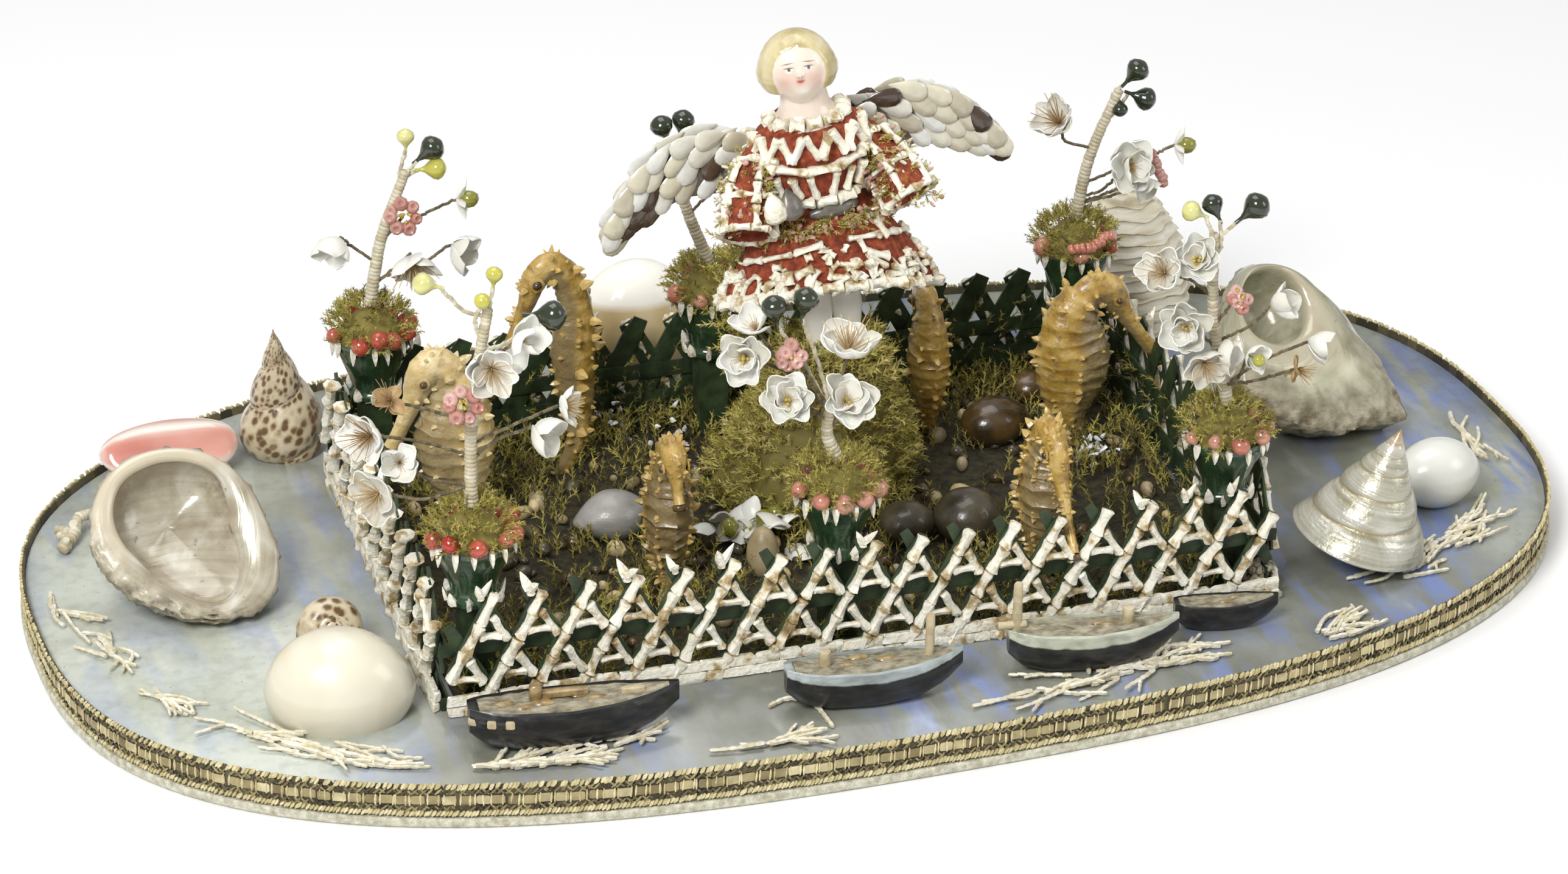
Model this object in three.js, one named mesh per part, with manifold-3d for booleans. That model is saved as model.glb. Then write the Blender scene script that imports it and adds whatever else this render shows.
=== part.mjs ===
// Shell diorama: an oval painted sea board edged with braid. It carries a fenced garden of
// shells, seahorses and urns of shell flowers round a winged doll on a mossy mound, with
// large shells and little boats on the sea outside the fence.
// Millimetres, +Z up, +X to the right of the front. The origin is the middle of the underside.
import * as THREE from 'three';
import { mergeVertices } from 'three/addons/utils/BufferGeometryUtils.js';
import Module from 'manifold-3d';

// Board and braid
const boardHalfLength = 280;
const boardHalfWidth = 167;
const ovalPower = 2.62;
const boardTurn = THREE.MathUtils.degToRad(2.1);
const ovalSides = 40;
const lipHeight = 3.5;
const lipProud = 2.4;
const seaHeight = 13;
const braidThickness = 2.7;
const braidTop = 17;
const touchGap = 0.3;

// Garden rectangle and its lattice fence
const gardenX = -4.5;
const gardenY = -8;
const gardenLength = 304;
const gardenDepth = 194;
const fenceHeight = 45.5;
const fenceFoot = 8;
const fenceMiddle = 23.5;
const fenceCrossing = 39;
const fenceThickness = 2.4;
const barWidth = 4.2;
const longCells = 18;
const sideCells = 11;

// Urns on posts, inside the fence at the corners and half way along
const urnInset = 15.7;
const urnMiddleX = -12;
const postWidth = 11;
const urnFootZ = 49;
const urnRimZ = 72;
const urnMossZ = 88;
const urnFootRadius = 9.5;
const urnRimRadius = 14.5;
const urnSides = 8;

// Mound under the doll
const moundFoot = [10, 18];
const moundHead = [18, 13];
const moundRadius = 37;
const moundTop = 76.5;

// Doll, in her own frame with the soles at zero
const dollX = 18.5;
const dollY = 12;
const dollLean = THREE.MathUtils.degToRad(-7.1);
const hemZ = 18.5;
const hemHalfWidth = 38;
const hemHalfDepth = 22;
const hemFrontLift = 12.5;
const waistZ = 60;
const shoulderZ = 91;
const neckZ = 96;
const headZ = 110;
const headRadius = 14;
const legRadius = 5.5;
const legSpread = 5.8;
const wingBackY = 14;
const wingThickness = 5;

const wasm = await Module();
wasm.setup();

function finish(color, roughness, metalness = 0) {
  return new THREE.MeshStandardMaterial({ color, roughness, metalness });
}

const seaPaint = finish(0xb4bcc0, 0.25);
const braidThread = finish(0x7c7048, 0.6, 0.3);
const greenCard = finish(0x2f4a2c, 0.5);
const urnPaint = finish(0x24402a, 0.25);
const mossGreen = finish(0x77753a, 0.95);
const petalWhite = finish(0xe9e5da, 0.35);
const china = finish(0xf3ece4, 0.15);
const redCloth = finish(0xa8402a, 0.85);
const featherShell = finish(0xcfc9b8, 0.3);
const amberHide = finish(0xb98a3e, 0.35);
const nacre = finish(0xcfc8b8, 0.15);
const pinkShell = finish(0xe6b0b0, 0.2);
const spottedShell = finish(0xb89a80, 0.3);
const whiteShell = finish(0xf1ece2, 0.2);
const creamShell = finish(0xd8c49a, 0.3);
const boatPaint = finish(0x20242a, 0.35);
const pebbleBrown = finish(0x5a5348, 0.35);

const at = (x, y, z) => new THREE.Vector3(x, y, z);
const unitX = at(1, 0, 0);
const unitY = at(0, 1, 0);
const diorama = new THREE.Group();

function addPiece(parent, name, geometry, material, place = [0, 0, 0], turn = [0, 0, 0]) {
  const mesh = new THREE.Mesh(geometry, material);
  mesh.name = name;
  mesh.position.set(...place);
  mesh.rotation.set(...turn);
  parent.add(mesh);
}

// Joining and cutting of closed shapes

function toSolid(geometry) {
  const bare = new THREE.BufferGeometry();
  bare.setAttribute('position', geometry.getAttribute('position').clone());
  if (geometry.index) bare.setIndex(geometry.index.clone());
  const merged = mergeVertices(bare, 1e-3);
  const corners = merged.index.array;
  const triangles = [];
  for (let i = 0; i < corners.length; i += 3) {
    const [a, b, c] = [corners[i], corners[i + 1], corners[i + 2]];
    if (a !== b && b !== c && c !== a) triangles.push(a, b, c);
  }
  const vertProperties = new Float32Array(merged.getAttribute('position').array);
  const triVerts = new Uint32Array(triangles);
  return new wasm.Manifold(new wasm.Mesh({ numProp: 3, vertProperties, triVerts }));
}

function toGeometry(solid) {
  const mesh = solid.getMesh();
  const geometry = new THREE.BufferGeometry();
  geometry.setAttribute('position', new THREE.BufferAttribute(new Float32Array(mesh.vertProperties), 3));
  geometry.setIndex(new THREE.BufferAttribute(new Uint32Array(mesh.triVerts), 1));
  return geometry;
}

function joined(geometries) {
  const [first, ...rest] = geometries.map(toSolid);
  return toGeometry(rest.reduce((whole, piece) => whole.add(piece), first));
}

// A closed skin over rings of equal point counts, with a fan over each end
function loft(rings) {
  const sides = rings[0].length;
  const last = (rings.length - 1) * sides;
  const middle = (ring) => ring.reduce((sum, p) => sum.add(p), at(0, 0, 0)).divideScalar(sides);
  const points = [...rings.flat(), middle(rings[0]), middle(rings[rings.length - 1])];
  const startFan = points.length - 2;
  const endFan = points.length - 1;
  const index = [];
  for (let side = 0; side < sides; side += 1) {
    const next = (side + 1) % sides;
    for (let row = 0; row < last; row += sides) {
      index.push(row + side, row + next, row + next + sides);
      index.push(row + side, row + next + sides, row + side + sides);
    }
    index.push(startFan, next, side);
    index.push(endFan, last + side, last + next);
  }
  const geometry = new THREE.BufferGeometry();
  geometry.setFromPoints(points);
  geometry.setIndex(index);
  return geometry;
}

function ring(centre, across, along, halfAcross, halfAlong, sides) {
  return Array.from({ length: sides }, (_, side) => {
    const angle = (side / sides) * 2 * Math.PI;
    const point = centre.clone();
    point.addScaledVector(across, halfAcross * Math.cos(angle));
    return point.addScaledVector(along, halfAlong * Math.sin(angle));
  });
}

// A round rod of even thickness along a smooth line through a few points
function rod(points, radius, sides, steps) {
  const path = new THREE.CatmullRomCurve3(points);
  const section = new THREE.Shape();
  section.setFromPoints(ring(at(0, 0, 0), unitX, unitY, radius, radius, sides));
  return new THREE.ExtrudeGeometry(section, { steps, extrudePath: path, curveSegments: 1 });
}

function blob(centre, halfX, halfY, halfZ) {
  return new THREE.OctahedronGeometry(1).scale(halfX, halfY, halfZ).translate(...centre);
}

function turned(profile, sides) {
  const outline = profile.map(([r, z]) => new THREE.Vector2(r, z));
  return new THREE.LatheGeometry(outline, sides).rotateX(Math.PI / 2);
}

// Board: a painted slab on a slightly wider paper lip
function ovalShape(grow) {
  const shape = new THREE.Shape();
  const round = (value) => Math.sign(value) * Math.abs(value) ** (2 / ovalPower);
  shape.setFromPoints(Array.from({ length: ovalSides }, (_, side) => {
    const angle = (side / ovalSides) * 2 * Math.PI;
    const x = (boardHalfLength + grow) * round(Math.cos(angle));
    return new THREE.Vector2(x, (boardHalfWidth + grow) * round(Math.sin(angle)));
  }));
  return shape;
}

function extruded(shape, depth, floor = 0) {
  const plain = { depth, bevelEnabled: false, curveSegments: 1 };
  return new THREE.ExtrudeGeometry(shape, plain).translate(0, 0, floor);
}

function seaBoard() {
  return joined([extruded(ovalShape(lipProud), lipHeight), extruded(ovalShape(0), seaHeight)]);
}

function braidBand() {
  const band = ovalShape(touchGap + braidThickness);
  band.holes.push(ovalShape(touchGap));
  const floor = lipHeight + touchGap;
  return extruded(band, braidTop - floor, floor);
}

addPiece(diorama, 'sea_board', seaBoard(), seaPaint, [0, 0, 0], [0, 0, boardTurn]);
addPiece(diorama, 'braid_edge', braidBand(), braidThread, [0, 0, 0], [0, 0, boardTurn]);

// Fence: crossed card bars over a solid foot, open in Vs along the top
function latticePanel(length, cells) {
  const half = length / cells / 2;
  const rise = fenceMiddle - fenceFoot;
  const slant = Math.hypot(half, rise);
  const halfBarX = (barWidth / 2) * (slant / rise);
  const halfBarZ = (barWidth / 2) * (slant / half);
  const reach = half - halfBarX;
  const over = fenceHeight + 1;
  const tip = reach - ((over - fenceCrossing) * half) / rise;
  const plate = (points, depth, floor) => {
    const shape = new THREE.Shape(points.map(([x, z]) => new THREE.Vector2(x, z)));
    return toSolid(extruded(shape, depth, floor));
  };
  const cuts = [];
  for (let cell = 0; cell <= cells; cell += 1) {
    const joint = 2 * cell * half;
    const middle = joint + half;
    cuts.push([[joint, fenceMiddle + halfBarZ], [joint + reach, fenceCrossing], [joint + tip, over],
      [joint - tip, over], [joint - reach, fenceCrossing]]);
    if (cell === cells) break;
    cuts.push([[middle, fenceFoot + halfBarZ], [middle + reach, fenceMiddle],
      [middle, fenceCrossing - halfBarZ], [middle - reach, fenceMiddle]]);
    if (cell === 0) continue;
    cuts.push([[joint - reach, fenceFoot], [joint + reach, fenceFoot], [joint, fenceMiddle - halfBarZ]]);
  }
  const blank = plate([[0, 0], [length, 0], [length, fenceHeight], [0, fenceHeight]], fenceThickness, 0);
  const cutter = (points) => plate(points, fenceThickness + 2, -1);
  const panel = cuts.reduce((left, points) => left.subtract(cutter(points)), blank);
  return toGeometry(panel).rotateX(Math.PI / 2);
}

const gardenLeft = gardenX - gardenLength / 2;
const gardenRight = gardenX + gardenLength / 2;
const gardenFront = gardenY - gardenDepth / 2;
const gardenBack = gardenY + gardenDepth / 2;
const sideStart = gardenFront + fenceThickness + touchGap;
const sideLength = gardenDepth - 2 * (fenceThickness + touchGap);
const longPanel = () => latticePanel(gardenLength, longCells);
const sidePanel = () => latticePanel(sideLength, sideCells);
const quarterTurn = [0, 0, Math.PI / 2];
const frontPlace = [gardenLeft, gardenFront + fenceThickness, seaHeight];
addPiece(diorama, 'fence_front', longPanel(), greenCard, frontPlace);
addPiece(diorama, 'fence_back', longPanel(), greenCard, [gardenLeft, gardenBack, seaHeight]);
addPiece(diorama, 'fence_left', sidePanel(), greenCard, [gardenLeft, sideStart, seaHeight], quarterTurn);
addPiece(diorama, 'fence_right', sidePanel(), greenCard,
  [gardenRight - fenceThickness, sideStart, seaHeight], quarterTurn);

// Urns: a green card cup heaped with moss, on a square post
const urnPlaces = {
  front_left: [gardenLeft + urnInset, gardenFront + urnInset],
  front_middle: [urnMiddleX, gardenFront + urnInset - 2],
  front_right: [gardenRight - urnInset, gardenFront + urnInset],
  back_left: [gardenLeft + urnInset, gardenBack - urnInset],
  back_middle: [urnMiddleX, gardenBack - urnInset],
  back_right: [gardenRight - urnInset, gardenBack - urnInset],
};

function urnCup() {
  const neckRadius = urnFootRadius - 1.5;
  const foot = [[0, urnFootZ], [urnFootRadius, urnFootZ]];
  const cup = [[neckRadius, urnFootZ + 4], [urnRimRadius, urnRimZ]];
  const heap = [[urnRimRadius - 1, urnRimZ + 6], [urnRimRadius / 2, urnMossZ - 1], [0, urnMossZ]];
  return turned([...foot, ...cup, ...heap], urnSides);
}

for (const [place, [x, y]] of Object.entries(urnPlaces)) {
  const postHeight = urnFootZ - touchGap - seaHeight;
  const post = new THREE.BoxGeometry(postWidth, postWidth, postHeight);
  addPiece(diorama, `post_${place}`, post, greenCard, [x, y, seaHeight + postHeight / 2]);
  addPiece(diorama, `urn_${place}`, urnCup(), urnPaint, [x, y, 0]);
}

// Sprays: a wrapped stem out of each urn, with wires to bulbs, bead clusters and shell flowers.
// Each end is its kind, its step right of and behind the urn, and its height above the ground.
const sprays = {
  front_left: {
    tip: [8, 0, 158],
    ends: [['bulb', 10, 1, 166], ['bulb', -6, -1, 167], ['bulb', 18, -2, 155], ['flower', 16, -6, 143],
      ['cluster', -3, -8, 126], ['flower', 22, -6, 113], ['flower', -28, 2, 116]],
  },
  front_middle: {
    tip: [-2, 0, 112],
    ends: [['flower', -18, -4, 111], ['flower', 2, -7, 109], ['flower', 4, 1, 127], ['flower', -30, 2, 126],
      ['bulb', -22, 1, 142], ['bulb', -12, 2, 143]],
  },
  front_right: {
    tip: [-8, 0, 152],
    ends: [['bulb', -12, 0, 160], ['bulb', 4, 0, 159], ['flower', -14, -3, 141], ['cluster', 0, -6, 127],
      ['flower', 15, -2, 120], ['flower', -17, -4, 116], ['flower', 24, 2, 97]],
  },
  back_left: {
    tip: [15, 0, 137],
    ends: [['bulb', 16, 0, 147], ['bulb', 26, 2, 143], ['cluster', 13, -5, 120], ['flower', 35, 0, 121],
      ['flower', -10, -3, 112], ['flower', 22, -7, 105]],
  },
  back_middle: {
    tip: [-10, 1, 132],
    ends: [['bulb', -18, 0, 141], ['bulb', -9, 1, 142], ['flower', 6, 4, 118]],
  },
  back_right: {
    tip: [16, 0, 136],
    ends: [['bulb', 24, 0, 141], ['bulb', 26, -2, 131], ['flower', -6, 0, 125], ['flower', 18, -6, 105],
      ['cluster', 31, -4, 100], ['flower', 39, -2, 110]],
  },
};
const stemRadius = 2.4;
const wireRadius = 0.9;
const endShapes = {
  bulb: (centre) => blob(centre, 3.8, 3.8, 5),
  cluster: (centre) => blob(centre, 7.5, 6.5, 7),
  flower: (centre) => blob(centre, 9.5, 7, 8),
};

function spray({ tip, ends }) {
  const foot = at(0, 0, urnMossZ + touchGap);
  const head = at(...tip);
  const stemPoint = (height) => foot.clone().lerp(head, (height - foot.z) / (head.z - foot.z));
  const bend = stemPoint((foot.z + head.z) / 2).add(at(-1.5, 1, 0));
  const shapes = [rod([foot, bend, head], stemRadius, 5, 3)];
  for (const [kind, right, behind, height] of ends) {
    const end = at(right, behind, height);
    const root = stemPoint(Math.min(Math.max(height - 12, foot.z + 4), head.z - 3));
    shapes.push(rod([root, end], wireRadius, 3, 1), endShapes[kind](end));
  }
  return joined(shapes);
}

for (const [place, plan] of Object.entries(sprays)) {
  const [x, y] = urnPlaces[place];
  addPiece(diorama, `spray_${place}`, spray(plan), petalWhite, [x, y, 0]);
}

// Mound: a lumpy mossy heap that carries the doll
function mound() {
  const sides = 16;
  const levels = [[0, 1], [0.2, 0.98], [0.5, 0.86], [0.75, 0.66], [0.92, 0.42], [1, 0.24]];
  const rings = levels.map(([lift, spread]) => {
    const centre = at(
      THREE.MathUtils.lerp(moundFoot[0], moundHead[0], lift),
      THREE.MathUtils.lerp(moundFoot[1], moundHead[1], lift),
      THREE.MathUtils.lerp(seaHeight, moundTop, lift),
    );
    const lumps = lift > 0 && lift < 1 ? 0.06 : 0;
    return Array.from({ length: sides }, (_, side) => {
      const angle = (side / sides) * 2 * Math.PI;
      const radius = moundRadius * spread * (1 + lumps * Math.sin(5 * angle + 9 * lift));
      return centre.clone().add(at(radius * Math.cos(angle), radius * Math.sin(angle), 0));
    });
  });
  return loft(rings);
}

addPiece(diorama, 'mound', mound(), mossGreen);

// Doll: a china shoulder head and legs, a red dress with bell sleeves, and two wings
const doll = new THREE.Group();
doll.position.set(dollX, dollY, moundTop + 1);
doll.rotation.y = dollLean;
diorama.add(doll);

function dollHead() {
  const skull = new THREE.SphereGeometry(1, 10, 7);
  skull.rotateX(Math.PI / 2).scale(headRadius, headRadius * 0.95, headRadius * 0.97).translate(0, 0, headZ);
  const bust = [
    [0, neckZ], [8.5, neckZ], [7.6, neckZ + 2], [5.6, headZ - 10], [5.8, headZ - 6], [0, headZ - 6],
  ];
  return joined([skull, turned(bust, 8)]);
}

function dollLeg() {
  const top = hemZ - touchGap;
  const calf = [
    [legRadius * 0.75, 4], [legRadius * 0.7, 7], [legRadius, 13], [legRadius * 0.95, top], [0, top],
  ];
  return joined([turned([[0, 2], ...calf], 6), blob([0, -2.2, 2.4], 3.4, 6, 2.3)]);
}

// Dress: hips, waist, bust and shoulders as oval rings, with the skirt gathered into pleats.
// The hem hangs level although the doll leans, and it is lifted at the front.
function dressBody() {
  const sides = 16;
  const waves = 8;
  const levels = [
    [hemZ, hemHalfWidth, hemHalfDepth, 0.05, 1],
    [hemZ + 5, hemHalfWidth * 0.95, hemHalfDepth * 0.95, 0.06, 0.9],
    [waistZ - 20, hemHalfWidth * 0.74, hemHalfDepth * 0.84, 0.05, 0.35], [waistZ - 6, 21, 16, 0.03, 0.05],
    [waistZ, 14.5, 11.5, 0, 0], [waistZ + 16, 18, 13, 0, 0], [shoulderZ, 18.5, 10, 0, 0],
    [neckZ - touchGap, 9.5, 8, 0, 0],
  ];
  const levelRing = ([z, halfWidth, halfDepth, pleat, hang]) => Array.from({ length: sides }, (_, side) => {
    const angle = (side / sides) * 2 * Math.PI;
    const swell = 1 + pleat * Math.cos(waves * angle);
    const x = halfWidth * swell * Math.cos(angle);
    const lift = hemFrontLift * Math.max(0, -Math.sin(angle)) ** 1.5 + x * Math.tan(dollLean);
    return at(x, halfDepth * swell * Math.sin(angle), z + hang * lift);
  });
  return loft(levels.map(levelRing));
}

function sleeve(side) {
  const line = [[13, 0, shoulderZ - 4, 6], [21, -3, 72, 7.5], [27, -8, 55, 11], [28, -9.5, 49, 12]];
  return loft(line.reverse().map(([x, y, z, r]) => ring(at(side * x, y, z), unitX, unitY, r * 0.85, r, 6)));
}

// Wing: a scalloped fan of overlapping feathers seen from behind the shoulders
function wing(side) {
  const outline = new THREE.Shape();
  const upper = [[8, 79], [20, 86], [36, 91], [52, 87], [66, 73], [77, 50]];
  outline.setFromPoints(upper.map(([x, z]) => new THREE.Vector2(x, z)));
  const feathers = 5;
  const tipLine = new THREE.LineCurve(new THREE.Vector2(77, 50), new THREE.Vector2(16, 62));
  for (let feather = 1; feather <= feathers; feather += 1) {
    const notch = tipLine.getPoint((feather - 0.5) / feathers);
    const tip = tipLine.getPoint(feather / feathers);
    outline.lineTo(notch.x, notch.y + 5);
    outline.lineTo(tip.x, tip.y - 3 + feather);
  }
  outline.lineTo(8, 70);
  const slab = extruded(outline, wingThickness).rotateX(Math.PI / 2);
  slab.translate(0, wingBackY + wingThickness, 0);
  if (side > 0) return slab;
  slab.scale(-1, 1, 1);
  slab.setIndex(Array.from({ length: slab.getAttribute('position').count }, (_, i) => i).reverse());
  return slab;
}

addPiece(doll, 'doll_head', dollHead(), china);
addPiece(doll, 'doll_leg_left', dollLeg(), china, [-legSpread, 0, 0]);
addPiece(doll, 'doll_leg_right', dollLeg(), china, [legSpread, 0, 0]);
addPiece(doll, 'dress', joined([dressBody(), sleeve(-1), sleeve(1)]), redCloth);
addPiece(doll, 'wing_left', wing(-1), featherShell);
addPiece(doll, 'wing_right', wing(1), featherShell);

// Seahorses: ridged dried bodies standing on their tails, heads outwards with the snout down.
// Each has its place, its height, how stout it is and the way that it faces.
const seahorses = {
  front_left: { place: [-61, -50], height: 70, girth: 1.1, facing: -90 },
  front_right: { place: [70, -74], height: 71, girth: 1.1, facing: -90 },
  left: { place: [-125, 18], height: 80, girth: 1.2, facing: 180 },
  right: { place: [117, 25], height: 73, girth: 1.3, facing: 0 },
  back_left: { place: [-72, 56], height: 98, girth: 0.7, facing: 185 },
  back_right: { place: [66, 50], height: 64, girth: 1.1, facing: 90 },
};

function seahorse(height, girth) {
  const sections = [[0.01, 0.02, 0.07], [0.2, -0.04, 0.075], [0.38, -0.02, 0.13], [0.55, 0, 0.155],
    [0.72, -0.03, 0.115], [0.84, -0.01, 0.085], [0.94, 0.03, 0.085], [1, 0.03, 0.035]];
  const flatness = 0.72;
  const body = loft(sections.map(([z, x, share]) => {
    const half = share * girth * height;
    return ring(at(x, 0, z).multiplyScalar(height), unitX, unitY, half, half * flatness, 6);
  }));
  const snoutLine = [[0.26, 0.5, 0.03], [0.18, 0.68, 0.04], [0.07, 0.88, 0.08]];
  const across = at(0.8, 0, 0.35);
  const snout = loft(snoutLine.map(([x, z, half]) => (
    ring(at(x, 0, z).multiplyScalar(height), across, unitY, half * height, half * height, 5))));
  return joined([body, snout]);
}

for (const [name, { place, height, girth, facing }] of Object.entries(seahorses)) {
  const turn = [0, 0, THREE.MathUtils.degToRad(facing)];
  addPiece(diorama, `seahorse_${name}`, seahorse(height, girth), amberHide, [...place, seaHeight], turn);
}

// Shells on the sea
// Cut turban: a bowl of even wall, trimmed back at its upper right by a share called bite
function cutTurban(radius, depth, bite) {
  const wall = 3.2;
  const squeeze = 0.86;
  const biteAngle = 0.75;
  const biteSpread = 0.6;
  const profile = [];
  const steps = 4;
  for (let step = 0; step <= steps; step += 1) {
    const angle = (step / steps) * (Math.PI / 2);
    profile.push([radius * Math.sin(angle), -depth * Math.cos(angle)]);
  }
  for (let step = steps; step >= 0; step -= 1) {
    const angle = (step / steps) * (Math.PI / 2);
    profile.push([(radius - wall) * Math.sin(angle), -(depth - wall) * Math.cos(angle) + 0.4]);
  }
  const bowl = turned(profile, 13).scale(1, squeeze, 1);
  const points = bowl.getAttribute('position');
  for (let i = 0; i < points.count; i += 1) {
    const away = (Math.atan2(points.getY(i), points.getX(i)) - biteAngle) / biteSpread;
    const keep = 1 - bite * Math.exp(-away * away);
    points.setXY(i, points.getX(i) * keep, points.getY(i) * keep);
  }
  return bowl;
}

// Spire shell: whorls that step in towards the apex
function spireShell(radius, height, whorls, bulge, sides) {
  const profile = [[0, 0], [radius * 0.8, 0]];
  for (let whorl = 0; whorl < whorls; whorl += 1) {
    const low = 1 - whorl / whorls;
    const high = 1 - (whorl + 1) / whorls;
    const lift = (fraction) => height * (1 - fraction) ** 0.95;
    profile.push([radius * low, lift(low) + height * 0.03]);
    if (high > 0) profile.push([radius * (high + bulge / whorls), lift(high) - height * 0.02]);
  }
  return turned([...profile, [0, height]], sides);
}

function eggShell(halfX, halfY, halfZ, sides, bands) {
  return new THREE.SphereGeometry(1, sides, bands).rotateX(Math.PI / 2).scale(halfX, halfY, halfZ);
}

// Shell lying mouth down: widest low on its sides, rounded over the top
function domeShell(halfX, halfY, height, sides) {
  const profile = [[0, 0], [0.78, 0], [1, 0.28], [0.88, 0.62], [0.52, 0.91], [0, 1]];
  return turned(profile, sides).scale(halfX, halfY, height);
}

const tilt = THREE.MathUtils.degToRad;
const onSea = seaHeight + touchGap;
addPiece(diorama, 'turban_shell_left', cutTurban(36, 28, 0), nacre, [-222, -3, 43], [tilt(47), tilt(3), 0]);
const rightTurn = [tilt(43), tilt(12), 0];
addPiece(diorama, 'turban_shell_right', cutTurban(40, 30, 0.28), nacre, [213, 20, 46], rightTurn);
addPiece(diorama, 'pink_shell', eggShell(25, 13, 9, 10, 6), pinkShell, [-214, 99, 24], [tilt(20), 0, 0]);
addPiece(diorama, 'spotted_spire_shell', spireShell(19, 52, 5, 0.55, 10), spottedShell,
  [-169, 106, onSea + 1.4], [0, tilt(-4), 0]);
addPiece(diorama, 'small_turban_shell', domeShell(13, 11, 20, 8), spottedShell, [-183, -50, onSea]);
addPiece(diorama, 'moon_shell', domeShell(26, 20, 31, 11), whiteShell,
  [-189, -92, onSea], [0, 0, tilt(-12)]);
addPiece(diorama, 'pearly_top_shell', spireShell(26, 46, 5, 0.3, 12), nacre,
  [185, -88, 21], [tilt(6), tilt(15), 0]);
addPiece(diorama, 'egg_shell', domeShell(17, 13, 25, 9), whiteShell, [230, -54, onSea]);
addPiece(diorama, 'ribbed_shell', domeShell(26, 21, 58, 10), whiteShell, [170, 121, onSea]);
addPiece(diorama, 'cream_shell', domeShell(27, 17, 52, 10), creamShell, [-28, 119, onSea]);

// Boats: carved hulls with a flat deck, and stub masts on three of them
function boat({ length, beam, depth, masts }) {
  const half = length / 2;
  const stations = [
    [-1, 0.42, 0.25], [-0.75, 0.8, 0.04], [-0.2, 1, 0], [0.35, 0.92, 0.02], [0.75, 0.55, 0.16],
    [1, 0.05, 0.55],
  ];
  const hull = loft(stations.map(([run, width, rocker]) => {
    const x = run * half;
    const wide = (beam / 2) * width;
    const keel = depth * rocker;
    const sheer = depth * (1 + 0.12 * run * run);
    const bilge = THREE.MathUtils.lerp(keel, sheer, 0.35);
    return [at(x, 0, keel), at(x, wide * 0.75, bilge), at(x, wide, sheer), at(x, -wide, sheer),
      at(x, -wide * 0.75, bilge)];
  }));
  const sticks = masts.map(([run, width, height]) => (
    new THREE.BoxGeometry(width, width, height).translate(run * half, 0, depth + height / 2 - 1)));
  return joined([hull, ...sticks]);
}

const boats = {
  boat_left: { place: [-117, -133], swing: -5, length: 72, beam: 19, depth: 16, masts: [[-0.2, 4, 6]] },
  boat_middle: {
    place: [-12, -136], swing: -5, length: 62, beam: 17, depth: 15, masts: [[-0.55, 4, 5], [0.62, 2.6, 16]],
  },
  boat_right: {
    place: [68, -134], swing: -9, length: 60, beam: 16, depth: 16, masts: [[-0.9, 2.6, 18], [0.4, 4, 5]],
  },
  boat_small: { place: [122, -121], swing: -10, length: 37, beam: 11, depth: 10.5, masts: [] },
};
for (const [name, plan] of Object.entries(boats)) {
  addPiece(diorama, name, boat(plan), boatPaint, [...plan.place, seaHeight], [0, 0, tilt(plan.swing)]);
}

// Shells and pebbles on the garden floor
const floorStones = {
  garden_pearl_shell: { place: [-69, 4], size: [14, 11, 9], paint: nacre },
  garden_petal_shell: { place: [-23, -16], size: [11, 8, 8], paint: petalWhite },
  garden_tulip_shell: { place: [-24, -40], size: [6, 6, 10], paint: creamShell },
  garden_limpet_left: { place: [33, -30], size: [10, 9, 8], paint: pebbleBrown },
  garden_limpet_right: { place: [55, -34], size: [12, 11, 10], paint: pebbleBrown },
  garden_pebble_front: { place: [89, 37], size: [13, 11, 9], paint: pebbleBrown },
  garden_pebble_back: { place: [113, 66], size: [9, 8, 6], paint: pebbleBrown },
};
for (const [name, { place, size, paint }] of Object.entries(floorStones)) {
  addPiece(diorama, name, eggShell(...size, 7, 5), paint, [...place, seaHeight + size[2] + touchGap]);
}

export default diorama;
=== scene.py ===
from math import atan2, cos, exp, hypot, log, pi, radians, sin, sqrt, tan

import bmesh
import bpy
import numpy as np
from mathutils import Matrix, Vector


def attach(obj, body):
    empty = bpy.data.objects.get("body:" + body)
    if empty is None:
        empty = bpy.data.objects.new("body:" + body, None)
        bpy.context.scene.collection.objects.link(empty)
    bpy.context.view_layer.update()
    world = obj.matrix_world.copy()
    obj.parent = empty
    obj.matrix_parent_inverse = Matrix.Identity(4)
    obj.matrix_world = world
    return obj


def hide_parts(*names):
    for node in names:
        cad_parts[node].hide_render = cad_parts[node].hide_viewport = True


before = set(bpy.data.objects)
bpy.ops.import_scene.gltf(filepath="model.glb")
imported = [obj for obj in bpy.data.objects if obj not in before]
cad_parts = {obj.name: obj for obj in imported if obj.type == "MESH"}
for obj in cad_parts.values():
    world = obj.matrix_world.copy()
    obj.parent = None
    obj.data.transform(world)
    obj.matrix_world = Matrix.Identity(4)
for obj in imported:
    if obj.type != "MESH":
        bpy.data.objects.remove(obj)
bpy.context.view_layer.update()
mm = 0.001  # all modelling is in millimetres, and each finished piece is scaled to metres
dice = np.random.default_rng(1850)
draw = dice.uniform
chance = dice.random
seaTop = 13.0


# Modelling helpers

def clearSelection():
    if bpy.context.object and bpy.context.object.mode != "OBJECT":
        bpy.ops.object.mode_set(mode="OBJECT")
    bpy.ops.object.select_all(action="DESELECT")


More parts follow.
